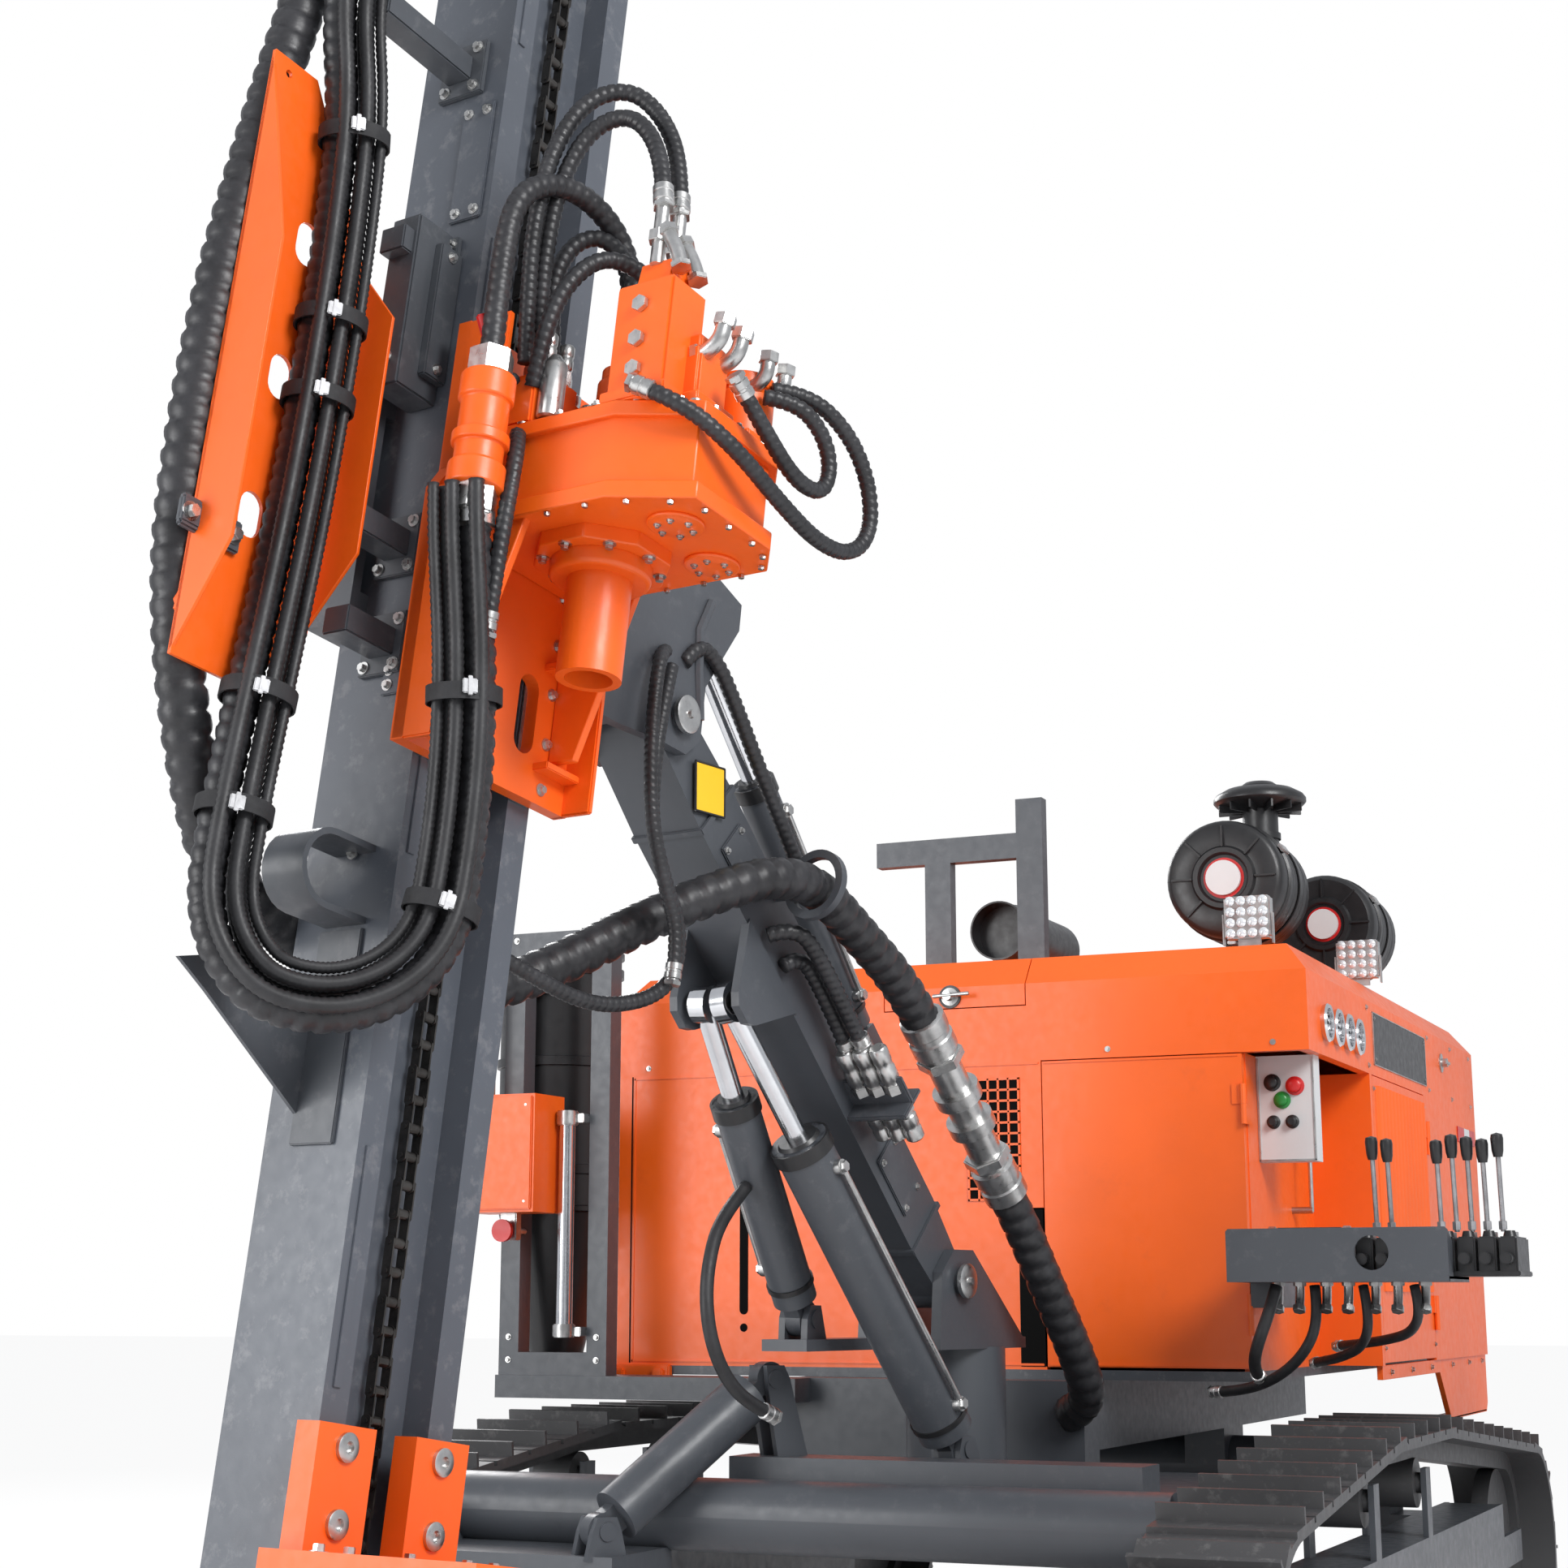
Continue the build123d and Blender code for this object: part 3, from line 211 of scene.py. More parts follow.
# near-black for thin sheets that paint the shade inside openings, slots, seams and between the louvres
M["hole"] = principled("painted_gap_shade", (0.004, 0.004, 0.004), 0.9, spec=0.1)[0]
M["lens"] = principled("lamp_lens", (0.80, 0.82, 0.84), 0.08, metal=0.4, coat=1.0)[0]

NODE_LOOK = {
    "orange": (
        "canopy_hood hood_hatch canopy_rear_wall canopy_wall_left canopy_wall_right canopy_side_front "
        "side_door_left side_door_right canopy_recess canopy_front_panel front_door head_sled head_gearbox "
        "head_motors head_valve_block hose_trough rod_table base_blocks dust_box spindle"
    ),
    "mast": "mast_beam mast_foot",
    "track": "track_left track_right wheels_left wheels_right",
    "chrome": "lift_ram_far_rod lift_ram_near_rod tilt_ram_rod",
    "zinc": "control_levers",
    "black": "air_filters rain_cap muffler valve_bank dust_hopper engine",
    "white": "control_panel",
    "dark": "work_lamps",
}
look = {n: key for key, names in NODE_LOOK.items() for n in names.split()}
for name, obj in NODES.items():
    material = M[look.get(name, "grey")]
    obj.data.materials.clear()
    obj.data.materials.append(material)

# Mesh building


def placed(name, bm, material, body):
    """The finished mesh as an object of the scene, riding its body."""
    me = bpy.data.meshes.new(name)
    bm.to_mesh(me)
    bm.free()
    me.materials.append(M[material])
    me.polygons.foreach_set("use_smooth", [True] * len(me.polygons))
    o = bpy.data.objects.new(name, me)
    bpy.context.scene.collection.objects.link(o)
    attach(o, body)
    return o


class Piece:
    """Collects geometry in one mesh; every call takes a frame matrix and sizes in metres."""

    def __init__(self, name, material, body):
        self.name, self.material, self.body = name, material, body
        self.bm = bmesh.new()

    def take(self, part):
        # a part is shaped on its own and then joined on, which stays quick as the piece grows
        mesh = bpy.data.meshes.new("part")
        part.to_mesh(mesh)
        part.free()
        self.bm.from_mesh(mesh, face_normals=False, vertex_normals=False)
        bpy.data.meshes.remove(mesh)
        return self

    def box(self, at, lo, hi, bevel=0.0):
        c = [(a + b) / 2 for a, b in zip(lo, hi)]
        s = [abs(b - a) for a, b in zip(lo, hi)]
        m = at @ Matrix.Translation(c) @ Matrix.Diagonal((*s, 1))
        part = bmesh.new()
        bmesh.ops.create_cube(part, size=1.0, matrix=m)
        if bevel:
            width = min(bevel, min(s) * 0.45)
            bmesh.ops.bevel(part, geom=list(part.edges), offset=width, segments=2, affect="EDGES")
        return self.take(part)

    def prism(self, at, outline, y0, y1, plane="xz"):
        # outline in the plane's two axes, extruded along the third
        order = {
            "xz": lambda p, w: (p[0], w, p[1]),
            "xy": lambda p, w: (p[0], p[1], w),
            "yz": lambda p, w: (w, p[0], p[1]),
        }[plane]
        part = bmesh.new()
        a = [part.verts.new(at @ Vector(order(p, y0))) for p in outline]
        b = [part.verts.new(at @ Vector(order(p, y1))) for p in outline]
        n = len(a)
        part.faces.new(a)
        part.faces.new(b)
        for i in range(n):
            part.faces.new((a[i], a[(i + 1) % n], b[(i + 1) % n], b[i]))
        bmesh.ops.recalc_face_normals(part, faces=list(part.faces))
        return self.take(part)

    def cyl(self, at, p, q, r, r2=None, sides=20, bevel=0.0):
        p, q = Vector(p), Vector(q)
        d = q - p
        rot = d.to_track_quat("Z", "Y").to_matrix().to_4x4()
        m = at @ Matrix.Translation((p + q) / 2) @ rot
        part = bmesh.new()
        top = r if r2 is None else r2
        bmesh.ops.create_cone(
            part, cap_ends=True, segments=sides, radius1=r, radius2=top, depth=d.length, matrix=m,
        )
        if bevel:
            edges = {e for f in part.faces if len(f.verts) == sides for e in f.edges}
            bmesh.ops.bevel(part, geom=list(edges), offset=bevel, segments=2, affect="EDGES")
        return self.take(part)

    def turn(self, at, p, axis, profile, sides=28, close=False):
        # revolves (along, radius) pairs about the axis through p
        p, axis = Vector(p), Vector(axis).normalized()
        m = at @ Matrix.Translation(p) @ axis.to_track_quat("Z", "Y").to_matrix().to_4x4()
        part = bmesh.new()
        rings = []
        for along, radius in profile:
            if radius < 1e-6:
                rings.append([part.verts.new(m @ Vector((0, 0, along)))])
                continue
            spots = [
                (radius * math.cos(k * math.tau / sides), radius * math.sin(k * math.tau / sides))
                for k in range(sides)
            ]
            rings.append([part.verts.new(m @ Vector((x, y, along))) for x, y in spots])
        pairs = list(zip(rings, rings[1:]))
        if close:
            pairs.append((rings[-1], rings[0]))
        for a, b in pairs:
            for k in range(sides):
                j = (k + 1) % sides
                quad = list(dict.fromkeys([a[k % len(a)], a[j % len(a)], b[j % len(b)], b[k % len(b)]]))
                if len(quad) > 2:
                    part.faces.new(quad)
        if not close:
            for ring in (rings[0], rings[-1]):
                if len(ring) > 2:
                    part.faces.new(ring)
        bmesh.ops.recalc_face_normals(part, faces=list(part.faces))
        return self.take(part)

    def bolt(self, at, p, axis, size=0.012, high=0.009, washer=True):
        # hexagon head with its washer, standing on p and pointing along axis
        p, axis = Vector(p), Vector(axis).normalized()
        if washer:
            self.cyl(at, p - axis * 0.002, p + axis * 0.002, size * 0.95, sides=20)
        self.cyl(at, p + axis * 0.001, p + axis * (high + 0.001), size * 0.62, sides=6, bevel=0.001)
        return self

    def done(self, bevel=0.0, smooth_angle=40):
        self.bm.normal_update()
        o = placed(self.name, self.bm, self.material, self.body)
        if bevel:
            mod = o.modifiers.new("edge", "BEVEL")
            mod.width = bevel
            mod.segments = 2
            mod.limit_method = "ANGLE"
        o.data.set_sharp_from_angle(angle=math.radians(smooth_angle))
        return o


def frames_along(path):
    """Directions along a path, each with an upright that doesn't twist."""
    tangents = []
    for i in range(len(path)):
        a, b = path[max(0, i - 1)], path[min(len(path) - 1, i + 1)]
        tangents.append((b - a).normalized())
    up = tangents[0].orthogonal().normalized()
    ups = []
    for t in tangents:
        up = (up - t * up.dot(t)).normalized()
        ups.append(up.copy())
    return tangents, ups


def sweep(bm, path, radius_at, sides):
    """A closed tube round a path; radius_at takes the ring's number and the share of a turn."""
    tangents, ups = frames_along(path)
    rings = []
    for i, (p, t, u) in enumerate(zip(path, tangents, ups)):
        w = t.cross(u)
        ring = []
        for k in range(sides):
            a = k * math.tau / sides
            r = radius_at(i, k / sides)
            ring.append(bm.verts.new(p + u * (r * math.cos(a)) + w * (r * math.sin(a))))
        rings.append(ring)
    for a, b in zip(rings, rings[1:]):
        for k in range(sides):
            j = (k + 1) % sides
            bm.faces.new((a[k], a[j], b[j], b[k]))
    bm.faces.new(list(reversed(rings[0])))
    bm.faces.new(rings[-1])


def spline_points(points):
    # the smooth line of a cord: a NURBS spline with the route's points as its control points
    data = bpy.data.curves.new("route", "CURVE")
    data.dimensions = "3D"
    line = data.splines.new("NURBS")
    line.points.add(len(points) - 1)
    for point, place in zip(line.points, points):
        point.co = (*place, 1)
    line.order_u = 3
    line.use_endpoint_u = True
    line.resolution_u = 24
    carrier = bpy.data.objects.new("route", data)
    mesh = bpy.data.meshes.new_from_object(carrier)
    places = [v.co.copy() for v in mesh.vertices]
    bpy.data.objects.remove(carrier)
    bpy.data.meshes.remove(mesh)
    return places


def evenly(places, step):
    """The same line with its points step apart."""
    out, carry = [places[0].copy()], 0.0
    for a, b in zip(places, places[1:]):
        a = a.copy()
        d = (b - a).length
        while d > 0 and carry + d >= step:
            a = a.lerp(b, (step - carry) / d)
            out.append(a.copy())
            d = (b - a).length
            carry = 0.0
        carry += d
    if (out[-1] - places[-1]).length > step * 0.4:
        out.append(places[-1])
    else:
        out[-1] = places[-1]
    return out


def cord(name, at, points, diameter, body, kind="spiral", material="guard"):
    """A free hose: its cover swept along the route's spline, with its ferrule."""
    pitch = diameter * 0.50
    step = pitch / 5 if kind == "spiral" else diameter * 0.6
    path = evenly(spline_points([at @ Vector(p) for p in points]), step)
    radius = diameter / 2
    bm = bmesh.new()

    def cover(i, k):
        if kind != "spiral":
            return radius
        turn = (i * step / pitch + k) % 1.0
        return radius * (0.86 if turn < 0.22 else 1.0 if turn < 0.75 else 0.965)

    sweep(bm, path, cover, 14 if diameter > 0.05 else 9)
    o = placed(name, bm, material, body)
    tail = (path[-1] - path[-2]).normalized()
    fitting = Piece(name + "_end", "zinc", body)
    ferrule(
        fitting, Matrix.Identity(4), path[-1] - tail * diameter * 1.1,
        path[-1] + tail * diameter * 0.45, radius * 1.06,
    )
    fitting.done()
    return path


def ferrule(piece, at, p, q, r):
    # crimped steel sleeve from p to q, with a hexagon nut beyond q
    p, q = Vector(p), Vector(q)
    d = q - p
    n = d.length
    prof = [
        (0, r * 0.9), (n * 0.05, r * 1.12), (n * 0.30, r * 1.12), (n * 0.33, r * 1.02),
        (n * 0.42, r * 1.02), (n * 0.45, r * 1.12), (n * 0.70, r * 1.12), (n * 0.74, r * 0.95),
        (n * 0.80, r * 0.95),
    ]
    piece.turn(at, p, d, prof, sides=18)
    e = d.normalized()
    piece.cyl(at, p + e * n * 0.80, q, r * 1.18, sides=6, bevel=r * 0.08)


# Stage, light and camera

CAMERA = Vector((5.750, 2.349, 1.050)) + SHIFT
YAW, PITCH = math.radians(24.509), math.radians(11.791)
FORWARD = Vector((-math.cos(YAW) * math.cos(PITCH), -math.sin(YAW) * math.cos(PITCH), math.sin(PITCH)))
FOCAL_PX, FRAME_PX, SENSOR_MM = 3062.6, 1932.0, 36.0


def backdrop(name, size, z):
    """The pale floor, which glows for the camera only and keeps the shadow."""
    me = bpy.data.meshes.new(name)
    me.from_pydata(
        [(-size, -size, z), (size, -size, z), (size, size, z), (-size, size, z)], [], [(0, 1, 2, 3)],
    )
    o = bpy.data.objects.new(name, me)
    bpy.context.scene.collection.objects.link(o)
    m, t, b = principled(name + "_look", (0.86, 0.86, 0.86), 0.85, spec=0.2)
    glow = t.nodes.new("ShaderNodeEmission")
    seen = t.nodes.new("ShaderNodeLightPath")
    blend = t.nodes.new("ShaderNodeMixShader")
    share = t.nodes.new("ShaderNodeMath")
    share.operation = "MULTIPLY"
    share.inputs[1].default_value = 0.90
    t.links.new(seen.outputs["Is Camera Ray"], share.inputs[0])
    t.links.new(share.outputs[0], blend.inputs[0])
    t.links.new(b.outputs[0], blend.inputs[1])
    t.links.new(glow.outputs[0], blend.inputs[2])
    t.links.new(blend.outputs[0], t.nodes["Material Output"].inputs["Surface"])
    me.materials.append(m)
    return o


backdrop("floor", 60.0, 0.0)
world = bpy.data.worlds.new("studio")
bpy.context.scene.world = world
world.use_nodes = True
wt = world.node_tree
wt.nodes.clear()
out = wt.nodes.new("ShaderNodeOutputWorld")
plain = wt.nodes.new("ShaderNodeBackground")
plain.inputs["Color"].default_value = (1, 1, 1, 1)
plain.inputs["Strength"].default_value = 1.0
lit = wt.nodes.new("ShaderNodeBackground")
lit.inputs["Color"].default_value = (0.93, 0.95, 1.0, 1)
lit.inputs["Strength"].default_value = 0.62
rays = wt.nodes.new("ShaderNodeLightPath")
mixer = wt.nodes.new("ShaderNodeMixShader")
wt.links.new(rays.outputs["Is Camera Ray"], mixer.inputs[0])
wt.links.new(lit.outputs[0], mixer.inputs[1])
wt.links.new(plain.outputs[0], mixer.inputs[2])
wt.links.new(mixer.outputs[0], out.inputs["Surface"])


def area_light(name, place, target, size, power, tint=(1, 1, 1)):
    data = bpy.data.lights.new(name, "AREA")
    data.shape = "DISK"
    data.size = size
    data.energy = power
    data.color = tint
    o = bpy.data.objects.new(name, data)
    o.location = place
    o.rotation_euler = (Vector(target) - Vector(place)).to_track_quat("-Z", "Y").to_euler()
    bpy.context.scene.collection.objects.link(o)


AIM = Vector((0.2, 0.0, 1.6))
area_light("key", Vector((5.0, 7.0, 6.5)), AIM, 4.0, 700)
area_light("fill", Vector((7.5, -4.5, 3.0)), AIM, 5.0, 330)
area_light("rim", Vector((-5.5, -6.0, 6.0)), AIM, 4.0, 420)

camera_data = bpy.data.cameras.new("camera")
camera_data.sensor_width = SENSOR_MM
camera_data.lens = FOCAL_PX / FRAME_PX * SENSOR_MM
camera_data.clip_end = 200.0
camera = bpy.data.objects.new("camera", camera_data)
camera.location = CAMERA
camera.rotation_euler = FORWARD.to_track_quat("-Z", "Y").to_euler()
bpy.context.scene.collection.objects.link(camera)
bpy.context.scene.camera = camera
bpy.context.scene.view_settings.view_transform = "Standard"

# Free hoses: control points in the mast's or the boom's frame

# The mast's front face, and the hoses' diameters
MAST_FACE = 0.165
AIR_HOSE, FEED_HOSE, HEAD_HOSE, RAM_HOSE = 0.090, 0.064, 0.044, 0.030
AIR_MAST = (
    (0.168, -0.058, 2.960), (0.290, -0.064, 2.950), (0.410, -0.084, 2.840), (0.470, -0.100, 2.660),
    (0.492, -0.1055, 2.450), (0.506, -0.1055, 2.250), (0.534, -0.1055, 2.090), (0.562, -0.1055, 1.870),
    (0.590, -0.1055, 1.620), (0.598, -0.106, 1.380), (0.592, -0.107, 1.190), (0.580, -0.108, 1.060),
)
FEED_LOOP = (
    (0.168, 0.000, 2.760), (0.270, -0.004, 2.750), (0.385, -0.010, 2.660), (0.460, -0.0166, 2.520),
    (0.496, -0.0166, 2.360), (0.503, -0.0166, 2.190), (0.446, -0.0166, 1.990), (0.431, -0.0166, 1.730),
    (0.430, -0.0166, 1.460), (0.436, -0.0166, 1.190), (0.452, -0.015, 0.950), (0.470, -0.009, 0.765),
    (0.486, -0.002, 0.595), (0.492, 0.004, 0.439), (0.460, 0.042, 0.334), (0.412, 0.106, 0.273),
    (0.318, 0.184, 0.273), (0.237, 0.251, 0.334), (0.190, 0.290, 0.439), (0.184, 0.293, 0.590),
    (0.192, 0.294, 0.750), (0.216, 0.294, 0.910), (0.250, 0.293, 1.050), (0.274, 0.291, 1.150),
    (0.286, 0.290, 1.225),
)
HEAD_AIR = (
    (0.000, 0.360, 1.412), (0.000, 0.360, 1.500), (-0.003, 0.357, 1.690), (-0.002, 0.353, 1.785),
    (0.038, 0.346, 1.855), (0.108, 0.333, 1.895), (0.188, 0.317, 1.895), (0.258, 0.306, 1.855),
    (0.298, 0.300, 1.785), (0.297, 0.295, 1.665), (0.292, 0.291, 1.550), (0.286, 0.290, 1.450),
)
AIR_BOOM = (
    (2.620, -0.108, 2.330), (2.474, -0.108, 2.170), (2.440, -0.114, 2.030), (2.390, -0.126, 1.900),
    (2.330, -0.140, 1.800), (2.190, -0.150, 1.720), (2.040, -0.158, 1.660), (1.900, -0.158, 1.625),
    (1.750, -0.150, 1.620), (1.590, -0.120, 1.655), (1.450, -0.060, 1.720), (1.320, 0.026, 1.808),
    (1.190, 0.120, 1.880), (1.060, 0.178, 1.930), (0.925, 0.200, 1.925), (0.800, 0.202, 1.862),
    (0.5389, 0.200, 1.7349), (0.4189, 0.200, 1.6169),
)
AIR_FRAME = (
    (-0.3245, 0.131, 0.780), (-0.300, 0.190, 0.800), (-0.240, 0.232, 0.850), (-0.150, 0.240, 0.950),
    (-0.050, 0.230, 1.080), (0.0678, 0.206, 1.2659), (0.1678, 0.200, 1.3659),
)
RAM_FAR = (
    (0.798, -0.0646, 1.299), (0.837, -0.0633, 1.271), (0.899, -0.0603, 1.221), (0.948, -0.050, 1.170),
    (0.985, -0.040, 1.080), (0.985, -0.030, 0.985), (0.945, -0.020, 0.900), (0.875, -0.010, 0.845),
    (0.790, 0.000, 0.815),
)
air_route = [MAST @ Vector(p) for p in AIR_MAST] + [BOOM @ Vector(p) for p in AIR_BOOM[1:]]
cord("air_hose", Matrix.Identity(4), air_route, AIR_HOSE, "mast")
cord("head_air", MAST, HEAD_AIR, HEAD_HOSE, "head")
cord("air_hose_frame", BOOM, AIR_FRAME, AIR_HOSE, "chassis")
cord("far_ram_hose", BOOM, RAM_FAR, RAM_HOSE, "lift_barrel_far", kind="plain", material="rubber")


def offset_path(path, inward, sideways, side):
    """The line beside a hose's own: inward is towards the inside of its bend."""
    tangents, _ = frames_along(path)
    return [p + t.cross(side).normalized() * inward + side * sideways for p, t in zip(path, tangents)]


def tube_along(name, body, path, diameter, material="rubber", sides=9, ribs=0.0):
    """A hose that lies along another one, with a fine rib on every second ring."""
    bm = bmesh.new()
    sweep(bm, path, lambda i, k: diameter / 2 - (ribs if i % 2 else 0.0), sides)
    return placed(name, bm, material, body)


def band(piece, centre, along, across, rx, ry, wide, thick):
    """A flat strap round a bundle, rx towards across and ry the other way."""
    along, across = along.normalized(), across.normalized()
    other = along.cross(across).normalized()
    rings = []
    for w, grow in ((-wide / 2, 0), (-wide / 2, thick), (wide / 2, thick), (wide / 2, 0)):
        ring = []
        for k in range(28):
            a = k * math.tau / 28
            spot = across * ((rx + grow) * math.cos(a)) + other * ((ry + grow) * math.sin(a))
            ring.append(piece.bm.verts.new(centre + along * w + spot))
        rings.append(ring)
    for a, b in zip(rings, rings[1:] + rings[:1]):
        for k in range(28):
            piece.bm.faces.new((a[k], a[(k + 1) % 28], b[(k + 1) % 28], b[k]))


def nearest(path, place):
    """Number of the path's point nearest to a place."""
    return min(range(len(path)), key=lambda i: (path[i] - place).length)


# The bundle beside the feed loop, with its straps
LOOP_SIDE = (MAST.to_3x3() @ Vector((0.638, 0.770, 0.0))).normalized()
BUNDLE = (
    # name, towards the inside of the bend, along the side, diameter
    ("loop_hose_1", -0.051, 0.002, 0.030),
    ("loop_hose_2", -0.044, 0.033, 0.028),
    ("loop_hose_3", -0.046, -0.030, 0.026),
    ("loop_hose_4", -0.004, 0.049, 0.030),
    ("loop_hose_5", -0.074, 0.019, 0.022),
)
STRAP_SPOTS = (
    # v of the leg it binds, s along the mast
    (-0.0166, 1.930), (-0.0166, 1.560), (-0.0166, 1.400), (-0.013, 0.820), (0.000, 0.600),
    (0.290, 0.480), (0.294, 0.860),
)


def feed_bundle(path):
    """Thin hoses strapped beside the feed loop."""
    for name, inward, sideways, diameter in BUNDLE:
        line = offset_path(path, inward, sideways, LOOP_SIDE)
        tube_along(name, "mast", line, diameter, ribs=0.0018)
    straps = Piece("loop_straps", "strap", "mast")
    buckles = Piece("loop_buckles", "steel", "mast")
    tangents, _ = frames_along(path)
    for v, s in STRAP_SPOTS:
        a = 0.48 if v < 0.1 else 0.2
        i = nearest(path, MAST @ Vector((a, v, s)))
        t = tangents[i]
        inward = t.cross(LOOP_SIDE).normalized()
        centre = path[i] - inward * 0.026 + LOOP_SIDE * 0.008
        band(straps, centre, t, inward, 0.064, 0.052, 0.030, 0.003)
        spot = Matrix.Translation(centre + LOOP_SIDE * 0.056)
        turn = Matrix((inward, t, LOOP_SIDE)).transposed().to_4x4()
        buckles.box(spot @ turn, (-0.013, -0.013, 0.001), (0.013, 0.013, 0.005), bevel=0.002)
        buckles.box(spot @ turn, (-0.004, -0.017, 0.004), (0.004, 0.017, 0.007), bevel=0.001)
    straps.done()
    buckles.done()


def couplings():
    """Crimped ends where the big hoses meet their fittings."""
    ends = Piece("mast_hose_ends", "zinc", "mast")
    for v, s in ((0.000, 2.760), (-0.058, 2.960)):
        ends.box(MAST, (MAST_FACE, v - 0.050, s - 0.050), (0.177, v + 0.050, s + 0.050), bevel=0.003)
        for dv in (-0.038, 0.038):
            for ds in (-0.038, 0.038):
                ends.bolt(MAST, (0.177, v + dv, s + ds), (1, 0, 0), 0.011, 0.009)
    ends.done()
    lower = Piece("boom_hose_ends", "zinc", "boom")
    lower.cyl(BOOM, (0.1678, 0.200, 1.3659), (0.4189, 0.200, 1.6169), 0.040, sides=28)
    for u, z in ((0.325, 1.523), (0.262, 1.460)):
        lower.turn(
            BOOM, (u, 0.200, z), (1, 0, 1),
            [(-0.016, 0.041), (-0.016, 0.056), (0.016, 0.056), (0.016, 0.041)],
        )
    lower.done()
    sleeve = Piece("sleeve_nuts", "zinc", "head")
    sleeve.cyl(MAST, (0.286, 0.290, 1.176), (0.286, 0.290, 1.232), 0.046, sides=6, bevel=0.004)
    sleeve.cyl(MAST, (0.286, 0.290, 1.446), (0.286, 0.290, 1.500), 0.042, sides=6, bevel=0.004)
    sleeve.done()


# The feed chain: side plates, rollers and the two end wheels
CHAIN_V, CHAIN_PITCH, WHEEL_V, CHAIN_LOW, CHAIN_HIGH = 0.080, 0.050, 0.022, -0.940, 4.840


def link_plate(piece, a0, a1, s0, s1, high):
    # a waisted plate between two pins
    outline = []
    for centre, start in ((s1, -60), (s0, 120)):
        for k in range(7):
            angle = math.radians(start + k * 20)
            outline.append((CHAIN_V + high * math.sin(angle), centre + high * math.cos(angle)))
    piece.prism(MAST, outline, a0, a1, plane="yz")


def feed_chain():
    """The roller chain in the mast's open side."""
    links = Piece("feed_chain", "chain", "mast")
    count = int((CHAIN_HIGH - CHAIN_LOW) / CHAIN_PITCH)
    for k in range(count):
        s0 = CHAIN_LOW + k * CHAIN_PITCH
        inner = k % 2 == 0
        for sign in (-1, 1):
            a = 0.0115 if inner else 0.0155
            a0, a1 = sorted((sign * a, sign * (a + 0.0035)))
            link_plate(links, a0, a1, s0, s0 + CHAIN_PITCH, 0.0115)
        links.cyl(MAST, (-0.0115, CHAIN_V, s0), (0.0115, CHAIN_V, s0), 0.0095, sides=12)
        links.cyl(MAST, (-0.021, CHAIN_V, s0), (0.021, CHAIN_V, s0), 0.0045, sides=8)
    for s in (CHAIN_LOW, CHAIN_HIGH):
        teeth = []
        for k in range(16):
            for turn, radius in ((0.0, 0.050), (0.30, 0.058), (0.50, 0.058), (0.80, 0.050)):
                angle = (k + turn) * math.tau / 16
                teeth.append((WHEEL_V + radius * math.cos(angle), s + radius * math.sin(angle)))
        links.prism(MAST, teeth, -0.009, 0.009, plane="yz")
        links.cyl(MAST, (-0.030, WHEEL_V, s), (0.030, WHEEL_V, s), 0.018, sides=20)
    links.done(smooth_angle=30)


def mast_trim():
    """Cover plates, wear strips and bolts of the mast."""
    bolts = Piece("mast_bolts", "zinc", "mast")
    plates = Piece("mast_plates", "mast", "mast")
    # cover plates on the front of the beam, two pairs of bolts each
    for s0, s1 in ((1.90, 2.16), (0.92, 0.985), (2.90, 3.16), (3.90, 4.16)):
        plates.box(MAST, (MAST_FACE, 0.020, s0), (0.171, 0.098, s1), bevel=0.002)
        for s in (s0 + 0.018, s1 - 0.018):
            for v in (0.036, 0.082):
                bolts.bolt(MAST, (0.171, v, s), (1, 0, 0), 0.012, 0.009)
    # thin wear strips on the rod side's outer rail
    for s0, s1 in ((1.60, 1.86), (0.62, 0.98), (-0.30, 0.10), (2.30, 2.80)):
        plates.box(MAST, (0.128, 0.1145, s0), (0.146, 0.1185, s1), bevel=0.001)
    plates.done()
    # bracket feet on the mast and their bolts
    for s, v in ((1.020, 0.014), (1.215, 0.016), (1.800, 0.010), (2.250, 0.005)):
        for dv in (-0.036, 0.036):
            for ds in (-0.044, 0.044):
                bolts.bolt(MAST, (0.179, v + dv, s + ds), (1, 0, 0), 0.013, 0.010)
    for s in (1.56, 1.80):
        bolts.bolt(MAST, (0.275, 0.015, s), (1, 0, 0), 0.014, 0.011)
        bolts.bolt(MAST, (0.195, 0.068, s), (0, 1, 0), 0.012, 0.009)
    for a in (0.520, 0.622):
        bolts.bolt(MAST, (a, -0.038, 1.100), (0, 1, 0), 0.019, 0.014)
    for s in (0.500, 0.620):
        bolts.bolt(MAST, (0.173, 0.012, s), (1, 0, 0), 0.012, 0.009)
    # base blocks: socket screws in round bosses
    for a in (0.1475, -0.0885):
        for s in (-0.395, -0.515):
            bolts.turn(
                MAST, (a, 0.164, s), (0, 1, 0), [(0, 0.024), (0.008, 0.024), (0.010, 0.020),
                (0.010, 0.010), (0.004, 0.009), (0.004, 0.0)],
            )
    for a in (-0.215, -0.145, 0.0, 0.145, 0.215):
        bolts.bolt(MAST, (a, 0.200, -0.560), (0, 0, 1), 0.016, 0.012)
    bolts.done()


loop_path = cord("feed_loop", MAST, FEED_LOOP, FEED_HOSE, "mast")
feed_bundle(loop_path)
couplings()
feed_chain()
mast_trim()


